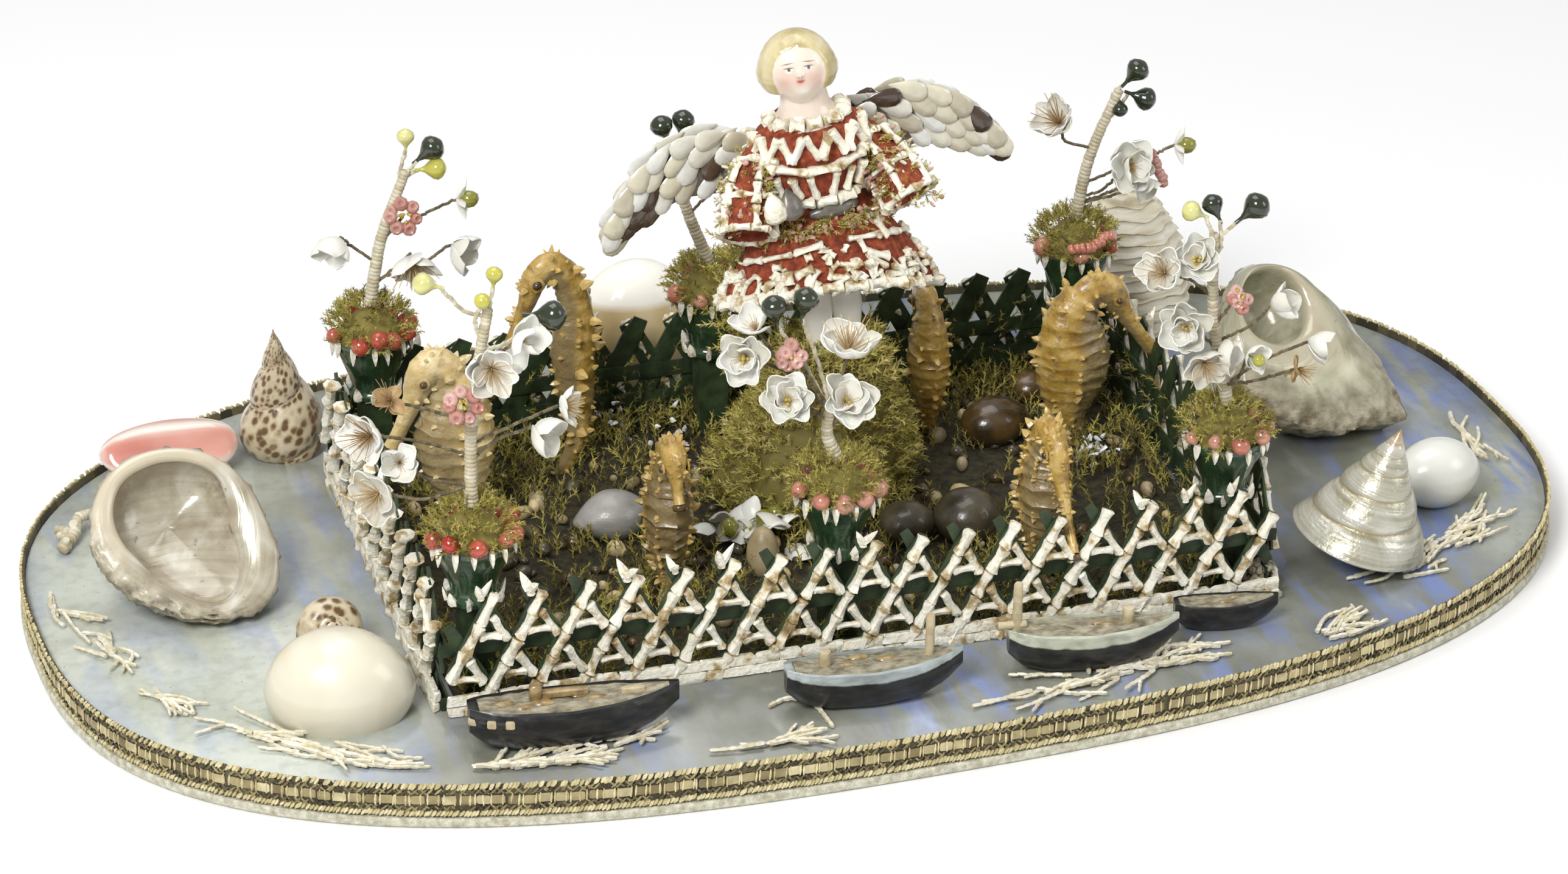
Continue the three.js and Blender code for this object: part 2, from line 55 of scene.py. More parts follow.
def sweep(rings, flows=None):
    # a closed body grown by extruding its end face from one ring of points to the next
    clearSelection()
    rings = [np.array(ring, float) for ring in rings]
    bpy.ops.mesh.primitive_circle_add(vertices=len(rings[0]), fill_type="NGON", enter_editmode=True)
    obj = bpy.context.object
    body = bmesh.from_edit_mesh(obj.data)
    for vert, spot in zip(body.verts, rings[0]):
        vert.co = spot
    last = rings[0]
    for ring in rings[1:]:
        bpy.ops.mesh.extrude_region_move()
        body = bmesh.from_edit_mesh(obj.data)
        for vert in [v for v in body.verts if v.select]:
            vert.co = ring[np.argmin(((last - np.array(vert.co)) ** 2).sum(1))]
        last = np.array(ring, np.float32)
    bpy.ops.mesh.select_all(action="SELECT")
    bpy.ops.mesh.normals_make_consistent(inside=False)
    bpy.ops.object.mode_set(mode="OBJECT")
    if flows is not None:
        lookup = {}
        for ring, flow in zip(rings, flows):
            for spot, value in zip(ring, flow):
                lookup[tuple(np.round(np.array(spot, np.float32), 3))] = value
        marks = obj.data.attributes.new("flow", "FLOAT_VECTOR", "POINT")
        for vert, mark in zip(obj.data.vertices, marks.data):
            mark.vector = lookup.get(tuple(np.round(np.array(vert.co, np.float32), 3)), (0, 0, 0))
    return obj


def turned(profile, sides, squeeze=1.0):
    angles = np.arange(sides) * 2 * np.pi / sides
    return [np.stack([girth * np.cos(angles), girth * squeeze * np.sin(angles), np.full(sides, height)], 1)
            for height, girth in profile]


def shapeVerts(obj, change):
    for vert in obj.data.vertices:
        vert.co = change(vert.co.copy())


def polar(around, far=1.0, height=0.0):
    return Vector((far * cos(around), far * sin(around), height))


def circle(count):
    return [k * 2 * pi / count for k in range(count)]


def swung(side, up, around):
    return side * cos(around) + up * sin(around)


def aroundAim(aim):
    aim = Vector(aim).normalized()
    side = aim.cross(Vector((0, 0, 1)) if abs(aim.z) < .9 else Vector((1, 0, 0))).normalized()
    return aim, side, aim.cross(side)


def stray(size):
    return dice.normal(0, size)


def jitter(size):
    return Vector(dice.normal(0, size, 3))


def moved(*place):
    return Matrix.Translation(place)


def spun(degrees, axis="Z"):
    return Matrix.Rotation(radians(degrees), 4, axis)


def sized(*shape):
    return Matrix.Diagonal((*shape, 1))


def onSea(at, turn=0):
    return moved(*at, seaTop) @ spun(turn)


def pick(obj):
    clearSelection()
    obj.select_set(True)
    bpy.context.view_layer.objects.active = obj


def takeModel(finish):
    # keeps the active object's mesh as a model to copy, and removes the object
    obj = bpy.context.object
    pick(obj)
    bpy.ops.object.transform_apply(location=True, rotation=True, scale=True)
    for modifier in list(obj.modifiers):
        bpy.ops.object.modifier_apply(modifier=modifier.name)
    mesh = obj.data
    marks = mesh.attributes.get("flow")
    model = {
        "points": np.array([v.co for v in mesh.vertices]),
        "corners": np.array([i for p in mesh.polygons for i in p.vertices]),
        "sizes": np.array([len(p.vertices) for p in mesh.polygons]),
        "flow": np.array([m.vector for m in marks.data]) if marks else np.zeros((len(mesh.vertices), 3)),
        "finish": finish,
    }
    bpy.data.objects.remove(obj)
    return model


def sweptModel(finish, rings, flows=None):
    sweep(rings, flows)
    return takeModel(finish)


def turnedModel(finish, profile, sides, squeeze=1.0):
    return sweptModel(finish, turned(profile, sides, squeeze))


def inFinish(model, finish):
    return {**model, "finish": finish}


def gather(bag):
    # the rows of one mesh from a bag of placed models, each with its tint and the number of its finish
    finishes, offset = [], 0
    rows = {"points": [], "corners": [], "sizes": [], "flow": [], "tints": [], "slots": []}
    for model, place, tint in bag:
        turn = np.array(place)
        if model["finish"] not in finishes:
            finishes.append(model["finish"])
        rows["points"].append(model["points"] @ turn[:3, :3].T + turn[:3, 3])
        rows["corners"].append(model["corners"] + offset)
        rows["sizes"].append(model["sizes"])
        rows["flow"].append(model["flow"])
        rows["tints"].append(np.full(len(model["points"]), tint))
        rows["slots"].append(np.full(len(model["sizes"]), finishes.index(model["finish"])))
        offset += len(model["points"])
    return {key: np.concatenate(row) for key, row in rows.items()}, finishes


def lay(bag, model, place, tint=0, finish=None):
    # a bag takes a placed model, in another finish where one is given
    bag.append((inFinish(model, finish) if finish else model, place, tint))


def joinModels(parts):
    rows, finishes = gather([(model, place, 0) for model, place in parts])
    return {**{key: rows[key] for key in ("points", "corners", "sizes", "flow")}, "finish": finishes[0]}


def put(place, aim=(0, 0, 1), size=1.0, roll=0.0):
    # a model's +Z end is pointed along aim
    scale = (size, size, size) if np.isscalar(size) else size
    turn = Vector(aim).to_track_quat("Z", "Y").to_matrix().to_4x4()
    return Matrix.Translation(Vector(place)) @ turn @ Matrix.Rotation(roll, 4, "Z") @ sized(*scale)


def smoothPath(points, step):
    points = np.array(points, float)
    if len(points) > 2:
        ends = np.concatenate([[2 * points[0] - points[1]], points, [2 * points[-1] - points[-2]]])
        t = np.linspace(0, 1, 16, endpoint=False)[:, None]
        dense = []
        for a, b, c, d in zip(ends, ends[1:], ends[2:], ends[3:]):
            dense.append(.5 * (2 * b + (c - a) * t + (2 * a - 5 * b + 4 * c - d) * t ** 2
                               + (3 * b - a - 3 * c + d) * t ** 3))
        points = np.concatenate(dense + [points[-1:]])
    run = np.concatenate([[0], np.cumsum(np.linalg.norm(np.diff(points, axis=0), axis=1))])
    marks = np.linspace(0, run[-1], max(2, round(run[-1] / step) + 1))
    return np.stack([np.interp(marks, run, points[:, i]) for i in range(points.shape[1])], 1)


def chain(bag, link, points, girth, step, taper=1.0, tint=None, flat=1.0, wobble=0.0):
    path = smoothPath(points, step)
    for i, (start, end) in enumerate(zip(path[:-1], path[1:])):
        thick = girth * (1 + (taper - 1) * i / max(1, len(path) - 2))
        aim = end - start + dice.normal(0, wobble + 1e-6, 3)
        size = (thick, thick * flat, np.linalg.norm(end - start) * 1.1)
        lay(bag, link, put(start, aim, size), chance() if tint is None else tint)


def buildPiece(name, bag, slotName, stands=(), angle=50):
    # joins a bag of placed models into one finished piece
    rows, finishes = gather(bag)
    mesh = bpy.data.meshes.new(name)
    mesh.vertices.add(len(rows["points"]))
    mesh.vertices.foreach_set("co", (rows["points"] * mm).ravel())
    mesh.loops.add(len(rows["corners"]))
    mesh.loops.foreach_set("vertex_index", rows["corners"])
    mesh.polygons.add(len(rows["sizes"]))
    mesh.polygons.foreach_set("loop_start", np.concatenate([[0], np.cumsum(rows["sizes"])[:-1]]))
    mesh.polygons.foreach_set("material_index", rows["slots"])
    mesh.attributes.new("tint", "FLOAT", "POINT").data.foreach_set("value", rows["tints"])
    mesh.attributes.new("flow", "FLOAT_VECTOR", "POINT").data.foreach_set("vector", rows["flow"].ravel())
    mesh.update(calc_edges=True)
    mesh.validate()
    for finish in finishes:
        mesh.materials.append(finish)
    obj = bpy.data.objects.new(name, mesh)
    bpy.context.scene.collection.objects.link(obj)
    pick(obj)
    bpy.ops.object.shade_smooth_by_angle(angle=radians(angle))
    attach(obj, "root")
    if stands:
        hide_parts(*stands)
    return obj


def buildBody(name, rings, finish, place, slotName, node, angle):
    # a piece swept from one set of rings
    buildPiece(name, [(sweptModel(finish, *rings), place, 0)], slotName, [node], angle)


# Finishes

bench = {}  # holds the finish that is being painted


def startFinish(name, roughness, **fixed):
    bench["finish"] = finish = bpy.data.materials.new(name)
    finish.use_nodes = True
    shader = finish.node_tree.nodes["Principled BSDF"]
    shader.inputs["Roughness"].default_value = roughness
    for socket, value in fixed.items():
        shader.inputs[socket.replace("_", " ")].default_value = value
    return finish


def addNode(kind, inputs, **settings):
    tree = bench["finish"].node_tree
    made = tree.nodes.new("ShaderNode" + kind)
    for key, value in settings.items():
        setattr(made, key, value)
    for socket, source in inputs.items():
        if isinstance(source, bpy.types.NodeSocket):
            tree.links.new(source, made.inputs[socket])
        else:
            made.inputs[socket].default_value = source
    return made


def readMark(name):
    made = addNode("Attribute", {}, attribute_name=name)
    return made.outputs["Vector" if name == "flow" else "Fac"]


def spotOnPiece():
    return addNode("TexCoord", {}).outputs["Object"]


def axes(source):
    return addNode("SeparateXYZ", {"Vector": source}).outputs


def spread(stretch=(1, 1, 1), turn=0.0, source=None):
    if source is None:
        source = spotOnPiece()
    fixed = {"Vector": source, "Scale": stretch, "Rotation": (0, 0, turn)}
    return addNode("Mapping", fixed).outputs["Vector"]


def grain(scale, stretch=(1, 1, 1), detail=4.0, turn=0.0, warp=0.0, source=None):
    where = spread(stretch, turn, source)
    fixed = {"Vector": where, "Scale": scale, "Detail": detail, "Distortion": warp}
    return addNode("TexNoise", fixed).outputs["Fac"]


def tones(share, stops):
    made = addNode("ValToRGB", {"Fac": share})
    ramp = made.color_ramp
    while len(ramp.elements) < len(stops):
        ramp.elements.new(1.0)
    for element, (position, colour) in zip(ramp.elements, stops):
        element.position = position
        element.color = (*colour, 1)
    return made.outputs["Color"]


def mixed(share, first, second, blend="MIX"):
    first, second = ((*tone, 1) if isinstance(tone, tuple) else tone for tone in (first, second))
    return addNode("Mix", {0: share, 6: first, 7: second}, data_type="RGBA",
                   blend_type=blend).outputs[2]


def stained(body, share, strength, colour):
    return mixed(times(share, strength), body, colour)


def times(first, second):
    return addNode("Math", {0: first, 1: second}, operation="MULTIPLY").outputs[0]


def plus(first, second):
    return addNode("Math", {0: first, 1: second}, operation="ADD").outputs[0]


def steps(value, low, high):
    return addNode("MapRange", {"Value": value, "From Min": low, "From Max": high}).outputs["Result"]


def paint(colour, bump=None, depth=0.2, gloss=None):
    finish = bench["finish"]
    shader, links = finish.node_tree.nodes["Principled BSDF"], finish.node_tree.links
    links.new(colour, shader.inputs["Base Color"])
    if bump is not None:
        relief = addNode("Bump", {"Height": bump, "Distance": depth * mm, "Strength": 1.0})
        links.new(relief.outputs["Normal"], shader.inputs["Normal"])
    if gloss is not None:
        links.new(gloss, shader.inputs["Roughness"])
    return finish


def plainFinish(name, roughness, dark, light, scale=300, bumpScale=900, depth=0.15, stretch=(1, 1, 1), **fixed):
    # two tones of one colour, mottled, with a fine relief
    startFinish(name, roughness, **fixed)
    mottle = grain(scale, stretch)
    return paint(tones(mottle, [(.3, dark), (.7, light)]), grain(bumpScale, stretch), depth)


def tintFinish(name, roughness, stops, scale=500, change=0.35, depth=0.15, **fixed):
    # one tone for each copied model, by its tint
    startFinish(name, roughness, **fixed)
    mottle = grain(scale)
    body = tones(readMark("tint"), stops)
    shade = tones(mottle, [(.25, (1 - change,) * 3), (.75, (1, 1, 1))])
    return paint(mixed(1.0, body, shade, "MULTIPLY"), grain(scale * 2.5), depth)


def makeSeaPaint():
    startFinish("seaPaint", 0.3, Coat_Weight=0.3, Coat_Roughness=0.12)
    where = axes(spotOnPiece())
    ground = tones(grain(24, detail=6), [(.3, (.36, .37, .28)), (.5, (.49, .52, .45)), (.7, (.57, .59, .52))])
    # greyer and darker before the front fence and beside it: dirt, together with painted shade from the fence
    fenceShadeAndDirt = times(steps(where[0], -.200, -.150), steps(where[0], .30, .20))
    fenceShadeAndDirt = times(fenceShadeAndDirt, steps(where[1], .16, .06))
    # these dark tones are dirt and painted shade from the fence together
    dirt = tones(grain(34, (1, .5, 1), detail=5, turn=.2),
                 [(.32, (.10, .10, .075)), (.5, (.16, .165, .14)), (.7, (.27, .285, .26))])
    ground = stained(ground, fenceShadeAndDirt, .88, dirt)
    strokes = grain(85, (1, .2, 1), detail=2, turn=.16, warp=.4)
    dabs = grain(13, detail=2)
    share = times(steps(strokes, .45, .60), steps(dabs, .42, .56))
    share = times(share, steps(where[0], -.42, .10))
    sea = stained(ground, share, .85, (.18, .25, .53))
    pale = steps(grain(60, (1, .3, 1), turn=.2), .6, .75)
    sea = stained(sea, pale, .3, (.66, .69, .66))
    grime = steps(grain(38, detail=6), .55, .72)
    sea = stained(sea, grime, .45, (.32, .32, .23))
    fine = steps(grain(210, detail=5), .46, .70)
    sea = stained(sea, fine, .28, (.22, .22, .17))
    specks = steps(grain(700, detail=2), .68, .75)
    sea = stained(sea, specks, .6, (.14, .12, .09))
    gloss = tones(grain(45), [(.3, (.16,) * 3), (.7, (.40,) * 3)])
    return paint(sea, grain(90, (1, .4, 1), turn=.2), 0.5, gloss)


def makeBone():
    # flow is high at a bone's two ends, where glue and dirt have stained it
    startFinish("ivoryBone", 0.4, Subsurface_Weight=0.1, Subsurface_Radius=(.002, .0015, .001))
    flow = axes(readMark("flow"))
    darkening = plus(grain(210, detail=6), times(readMark("tint"), .12))
    darkening = plus(darkening, times(flow[0], .06))
    body = tones(darkening, [(.36, (.91, .89, .79)), (.60, (.82, .77, .62)), (.70, (.48, .36, .18)),
                         (.82, (.24, .16, .07))])
    return paint(body, grain(520, detail=6), 0.9)


def makeHide(name, dark, middle, light, dirty):
    # flow is the share along the body, the share towards the belly, and the height of the ridges
    startFinish(name, 0.28, Coat_Weight=0.4, Coat_Roughness=0.15, Subsurface_Weight=0.4,
                Subsurface_Radius=(.006, .004, .001))
    flow = axes(readMark("flow"))
    amber = tones(grain(110, detail=6), [(.28, dark), (.5, middle), (.72, light)])
    body = stained(amber, flow[2], .55, tuple(min(.9, c * 1.15) for c in light))
    belly = steps(flow[1], .42, .66)
    body = stained(body, belly, dirty, (.22, .17, .09))
    dirt = steps(grain(240, detail=6), .56, .72)
    body = stained(body, dirt, dirty, (.15, .09, .03))
    return paint(body, grain(420, detail=6), 0.7)


def makeNacre(name, pale, warm, shade, film):
    # flow is the crust, the cream lip and the run of the growth lines; in a turban's bowl the first share is
    # painted shade, laid in the crust's brown
    startFinish(name, 0.24, Metallic=0.12, Coat_Weight=0.35, Coat_Roughness=0.12, Thin_Film_Thickness=film,
                Thin_Film_IOR=1.45)
    mark = readMark("flow")
    flow = axes(mark)
    growth = grain(1.0, (0, 0, 1), detail=3, source=mark)
    cloud = grain(55, detail=5, warp=1.0)
    both = plus(times(growth, .3), times(cloud, .7))
    pearl = tones(both, [(.30, shade), (.48, warm), (.64, pale)])
    specks = steps(grain(420, detail=3), .66, .72)
    pearl = stained(pearl, specks, .45, (.12, .10, .07))
    crust = tones(grain(240, detail=6),
                  [(.34, (.18, .145, .09)), (.5, (.37, .32, .22)), (.68, (.56, .51, .39))])
    # the crust's brown also stands for the painted shade in the bowl
    body = mixed(flow[0], pearl, crust)
    body = mixed(flow[1], body, (.66, .58, .43))
    gloss = tones(flow[0], [(.0, (.2,) * 3), (.8, (.7,) * 3)])
    rugged = times(grain(260, (1, 1, 2), detail=6), times(flow[0], 3.0))
    return paint(body, plus(growth, rugged), 0.28, gloss)


def makeSpotted():
    startFinish("spottedShell", 0.3, Coat_Weight=0.2)
    flow = readMark("flow")
    cells = addNode("TexVoronoi", {"Vector": spread((24, 1.3, 1), 0, flow), "Scale": 1.0, "Randomness": .8})
    ragged = plus(cells.outputs["Distance"], times(grain(330, detail=5), .5))
    body = tones(ragged, [(.56, (.12, .07, .033)), (.66, (.26, .17, .09)), (.74, (.46, .37, .23)),
                          (.95, (.60, .52, .37))])
    cloud = steps(grain(55, detail=3), .5, .7)
    body = stained(body, cloud, .5, (.24, .15, .08))
    return paint(body, grain(500), 0.25)


def makePearlyTop():
    # flow is the rise towards the apex, then the seam between whorls
    startFinish("pearlyTop", 0.3, Metallic=0.4, Coat_Weight=0.35, Coat_Roughness=0.15,
                Thin_Film_Thickness=390.0, Thin_Film_IOR=1.45)
    mark = readMark("flow")
    flow = axes(mark)
    threads = grain(26.0, (1, 0, 0), detail=2, source=mark)
    cloud = grain(48, detail=4, warp=1.0)
    both = plus(times(threads, .45), times(cloud, .55))
    pearl = tones(both, [(.36, (.34, .31, .21)), (.47, (.52, .50, .40)), (.56, (.62, .61, .53)),
                         (.66, (.70, .64, .57))])
    body = stained(pearl, flow[1], .8, (.34, .26, .12))
    body = mixed(steps(flow[0], .86, 1.0), body, (.50, .29, .12))
    return paint(body, plus(threads, grain(420, detail=3)), 0.35)


def makeSmoothShell(name, low, high, bands, scale, roughness=0.25, bleach=1.0):
    startFinish(name, roughness, Coat_Weight=0.3, Coat_Roughness=0.1, Subsurface_Weight=0.1,
                Subsurface_Radius=(.004, .003, .002))
    soft = tones(grain(scale, (1, .35, .35), detail=3), [(.35, low), (.6, high)])
    band = steps(grain(scale * 1.5, (1, .12, .12), detail=2), .58, .72)
    body = stained(soft, band, .45, bands)
    # bleached white above a height in metres
    place = axes(spotOnPiece())
    body = mixed(steps(place[2], bleach, bleach + .003), body, (.84, .82, .74))
    return paint(body, grain(240), 0.08)


def makePinkShell():
    startFinish("pinkShell", 0.12, Coat_Weight=0.6, Coat_Roughness=0.05)
    flow = axes(readMark("flow"))
    blush = tones(grain(60, (.5, 1, 1)), [(.3, (.58, .22, .17)), (.65, (.72, .40, .33))])
    body = mixed(flow[0], blush, (.80, .74, .66))
    return paint(body, grain(300), 0.06)


def makeRibbed():
    startFinish("ribbedShell", 0.5)
    layers = grain(130, (.25, .25, 2.2), detail=6, warp=.5)
    body = tones(layers, [(.3, (.36, .29, .17)), (.45, (.66, .60, .45)), (.6, (.84, .81, .70))])
    return paint(body, layers, 0.8)


def makeChina():
    # doll's head: flow is right, up and forward in head radii
    startFinish("paintedChina", 0.16, Coat_Weight=0.4, Coat_Roughness=0.06, Subsurface_Weight=0.05,
                Subsurface_Radius=(.003, .002, .001))
    flow = readMark("flow")

    def spot(right, up, wide, tall, soft, turn=0.0):
        size = (1 / wide, 1 / tall, .8)
        away = addNode("VectorMath", {0: flow, 1: (right, up, .92)}, operation="SUBTRACT")
        local = addNode("Mapping", {"Vector": away.outputs[0], "Rotation": (0, 0, turn)})
        shaped = addNode("VectorMath", {0: local.outputs[0], 1: size}, operation="MULTIPLY")
        far = addNode("VectorMath", {0: shaped.outputs[0]}, operation="LENGTH").outputs["Value"]
        return steps(far, 1 + soft, 1 - soft)

    body = tones(grain(200), [(.3, (.74, .65, .54)), (.7, (.80, .73, .63))])
    for side in (-1, 1):
        body = stained(body, spot(side * .36, -.17, .27, .24, .9), .5, (.66, .26, .19))
    for side in (-1, 1):
        body = mixed(spot(side * .27, .15, .095, .045, .3), body, (.80, .80, .77))
        body = mixed(spot(side * .27, .15, .045, .048, .3), body, (.10, .12, .13))
        body = mixed(spot(side * .27, .195, .12, .018, .5, side * .06), body, (.14, .09, .06))
        body = mixed(spot(side * .285, .315, .15, .014, .6, side * .14), body, (.25, .17, .09))
        body = stained(body, spot(side * .045, -.05, .03, .02, .5), .7, (.55, .22, .15))
    for right, up, wide in ((-.045, -.165, .07), (.045, -.165, .07), (0, -.195, .075)):
        body = mixed(spot(right, up, wide, .03, .4), body, (.62, .14, .09))
    hairTone = tones(grain(150, (1, 1, .35), detail=4),
                     [(.3, (.42, .34, .15)), (.5, (.60, .51, .28)), (.7, (.70, .62, .41))])
    body = mixed(steps(readMark("tint"), .4, .6), body, hairTone)
    return paint(body, grain(500), 0.05)


def makeDressRed():
    startFinish("dressRed", 0.9)
    nap = tones(grain(420, detail=6),
                [(.3, (.11, .020, .008)), (.55, (.29, .052, .018)), (.75, (.44, .12, .045))])
    return paint(nap, grain(1500, detail=5), 0.5)


def makeHull(name, low, strake, line):
    startFinish(name, 0.3, Coat_Weight=0.2)
    flow = axes(readMark("flow"))
    wear = grain(300, (.4, 1, 1), detail=6)
    black = tones(wear, [(.4, (.012, .012, .013)), (.68, (.035, .034, .032)), (.8, (.16, .14, .11))])
    pale = tones(wear, [(.3, tuple(c * .55 for c in strake)), (.6, strake)])
    height = plus(flow[0], times(wear, .12))
    body = mixed(steps(height, line, line + .04), black, pale)
    return paint(body if low else black, wear, 0.35)


def makeCup():
    startFinish("urnVarnish", 0.14, Coat_Weight=0.7, Coat_Roughness=0.06)
    green = tones(grain(120, detail=5),
                  [(.3, (.010, .022, .010)), (.6, (.022, .055, .022)), (.8, (.07, .13, .05))])
    return paint(green, grain(260), 0.4)


seaPaint = makeSeaPaint()
ivoryBone = makeBone()
seahorseHide = makeHide("seahorseHide", (.23, .118, .018), (.43, .270, .052), (.60, .44, .165), .8)
paleHide = makeHide("paleHide", (.38, .25, .075), (.58, .43, .18), (.72, .61, .37), .55)
nacreLeft = makeNacre("nacreLeft", (.62, .59, .50), (.43, .38, .28), (.24, .19, .12), 340.0)
nacreRight = makeNacre("nacreRight", (.52, .50, .385), (.35, .33, .225), (.18, .16, .10), 420.0)
musselGrey = plainFinish("musselGrey", 0.34, (.16, .155, .14), (.42, .41, .375), 45, 300, .2, (1, 1, 2),
                         Coat_Weight=0.2)
spottedShell = makeSpotted()
pearlyTop = makePearlyTop()
moonShell = makeSmoothShell("moonShell", (.67, .61, .46), (.73, .69, .56), (.60, .44, .24), 30)
eggShell = makeSmoothShell("eggShell", (.66, .66, .59), (.73, .73, .67), (.62, .61, .52), 30)
creamShell = makeSmoothShell("creamShell", (.50, .37, .17), (.64, .51, .28), (.70, .62, .45), 40, .55, .052)
pinkShell = makePinkShell()
ribbedShell = makeRibbed()
paintedChina = makeChina()
dressRed = makeDressRed()
urnVarnish = makeCup()
blackHull = makeHull("blackHull", False, (.4, .4, .4), .8)
greyStrake = makeHull("greyStrake", True, (.42, .47, .46), .78)
greenStrake = makeHull("greenStrake", True, (.50, .52, .41), .75)
silverLip = plainFinish("silverLip", 0.5, (.36, .34, .24), (.70, .68, .55), 420, 1100, .8)
greenCard = plainFinish("greenCard", 0.45, (.012, .021, .009), (.042, .070, .028), 160, 700, .2)
buffCord = tintFinish("buffCord", 0.8, [(0, (.54, .45, .22)), (1, (.80, .71, .43))], 600)
darkThread = tintFinish("darkThread", 0.6, [(0, (.034, .027, .012)), (1, (.40, .33, .15))], 800)
goldPlate = tintFinish("goldPlate", 0.3, [(0, (.26, .21, .11)), (.5, (.46, .38, .20)), (1, (.80, .70, .42))],
                       200, .5, .3, Metallic=0.85)
mossGreen = tintFinish("mossGreen", 0.8,
                       [(0, (.09, .075, .024)), (.3, (.30, .25, .052)), (.65, (.50, .44, .092)),
                        (1, (.68, .57, .22))], 300, .25)
bulbWax = tintFinish("bulbWax", 0.1,
                     [(0, (.020, .028, .015)), (.3, (.055, .07, .028)), (.5, (.22, .22, .03)),
                      (.75, (.62, .58, .10)), (1, (.72, .71, .36))], 250, .25, .05, Coat_Weight=0.6)
petalShell = tintFinish("petalShell", 0.28, [(0, (.76, .74, .64)), (1, (.93, .93, .88))], 160, .16, .1,
                        Subsurface_Weight=0.4, Subsurface_Radius=(.004, .004, .003))
petalHeart = tintFinish("petalHeart", 0.5, [(0, (.46, .33, .05)), (1, (.66, .52, .12))], 500)
stamenTan = tintFinish("stamenTan", 0.55, [(0, (.46, .29, .12)), (1, (.74, .57, .33))], 500)
waxPink = tintFinish("waxPink", 0.28, [(0, (.52, .23, .18)), (1, (.74, .47, .41))], 350, .3, .2,
                     Coat_Weight=0.3, Subsurface_Weight=0.25, Subsurface_Radius=(.003, .0015, .001))
glassBead = tintFinish("glassBead", 0.12, [(0, (.62, .30, .21)), (.5, (.56, .15, .09)), (1, (.46, .03, .018))],
                       300, .35, .15, Coat_Weight=0.6, Subsurface_Weight=0.3,
                       Subsurface_Radius=(.003, .001, .001))
stemCream = tintFinish("stemCream", 0.6, [(0, (.55, .47, .30)), (1, (.76, .71, .55))], 400)
wireBrown = tintFinish("wireBrown", 0.6, [(0, (.09, .07, .035)), (1, (.25, .20, .11))], 600)
sprigCream = tintFinish("sprigCream", 0.55, [(0, (.72, .64, .43)), (1, (.92, .88, .73))], 500)
featherShell = tintFinish("featherShell", 0.16,
                          [(0, (.045, .028, .020)), (.16, (.13, .085, .055)), (.2, (.52, .47, .35)),
                           (.5, (.72, .67, .50)), (.75, (.80, .79, .71)), (1, (.84, .84, .79))],
                          160, .25, .2, Coat_Weight=0.6)
chinaWhite = plainFinish("chinaWhite", 0.18, (.90, .87, .76), (.95, .94, .88), 120, 300, .05, Coat_Weight=0.4)
deckWood = plainFinish("deckWood", 0.8, (.12, .10, .06), (.44, .40, .285), 330, 600, 1.6, (.6, 1, 1))
amberGlue = plainFinish("amberGlue", 0.25, (.17, .10, .035), (.42, .31, .14), 300, 500, .3, Coat_Weight=0.5)
chequerTan = plainFinish("chequerTan", 0.5, (.40, .32, .18), (.60, .52, .34), 300)
garnetStone = plainFinish("garnetStone", 0.3, (.035, .028, .018), (.12, .10, .06), 90, 400, .2, Coat_Weight=0.3)
pebbleBrown = plainFinish("pebbleBrown", 0.25, (.034, .021, .008), (.13, .076, .024), 90, 400, .2,
                          Coat_Weight=0.4)
tulipTan = plainFinish("tulipTan", 0.4, (.24, .18, .09), (.44, .36, .21), 120, 500, .15)
# near-black soil under the garden moss, dark enough to paint the deep shade in the gaps between the sprigs
mossBedAndShade = plainFinish("mossBedAndShade", 0.95, (.008, .007, .003), (.062, .050, .019), 260, 700, 2.0)
crystalWhite = plainFinish("crystalWhite", 0.3, (.58, .60, .62), (.85, .86, .86), 400, 900, .2)
beltGrey = plainFinish("beltGrey", 0.3, (.06, .055, .05), (.20, .18, .15), 200, 500, .2, Coat_Weight=0.3)
print("finishes made:", len(bpy.data.materials))


# Models that are copied many times

def modelBone(seed):
    # a rough little bone, with its flow high at the two stained ends
    rough = np.random.default_rng(seed)
    ends = [(0, .78), (.045, 1.12), (.16, 1.06), (.36, .84), (.62, .80), (.84, 1.0), (.955, 1.16), (1, .80)]
    rings = [ring * np.column_stack([1 + rough.normal(0, .10, (8, 1))] * 2 + [np.ones((8, 1))])
             + np.array([[0, 0, 1]]) * rough.normal(0, .018, (8, 1)) for ring in turned(ends, 8, .85)]
    flows = [[(max(0, abs(2 * z - 1) - .55) / .45, 0, 0)] * 8 for z, girth in ends]
    return sweptModel(ivoryBone, rings, flows)


def modelSlab(finish, rough=0.0):
    clearSelection()
    bpy.ops.mesh.primitive_cube_add(size=1, enter_editmode=True)
    bpy.ops.mesh.bevel(offset=.14, segments=1, affect="EDGES")
    bpy.ops.object.mode_set(mode="OBJECT")
    shapeVerts(bpy.context.object, lambda co: co + jitter(rough + 1e-6))
    return takeModel(finish)


def modelPetal(finish):
    clearSelection()
    bpy.ops.mesh.primitive_grid_add(x_subdivisions=5, y_subdivisions=7, size=2)

    def curl(co):
        along = (co.y + 1) / 2
        wide = .07 + .36 * sin(pi * min(1, .04 + .82 * along ** .95)) ** .62
        rise = .42 * along ** 2.4 - .26 * along
        return Vector((co.x * wide, along - .26 * co.x ** 2 * along ** 2, rise + 1.1 * (co.x * wide) ** 2))
    shapeVerts(bpy.context.object, curl)
    wall = bpy.context.object.modifiers.new("wall", "SOLIDIFY")
    wall.thickness = .035
    return takeModel(finish)


def modelBead(finish):
    clearSelection()
    bpy.ops.mesh.primitive_ico_sphere_add(subdivisions=2, radius=1)
    shapeVerts(bpy.context.object, lambda co: co * (1 + .05 * sin(5 * co.x + 3 * co.y)))
    return takeModel(finish)


def modelNeedle(finish):
    clearSelection()
    bpy.ops.mesh.primitive_cone_add(vertices=3, radius1=1, radius2=0, depth=1, location=(0, 0, .5),
                                    end_fill_type="NGON")
    return takeModel(finish)


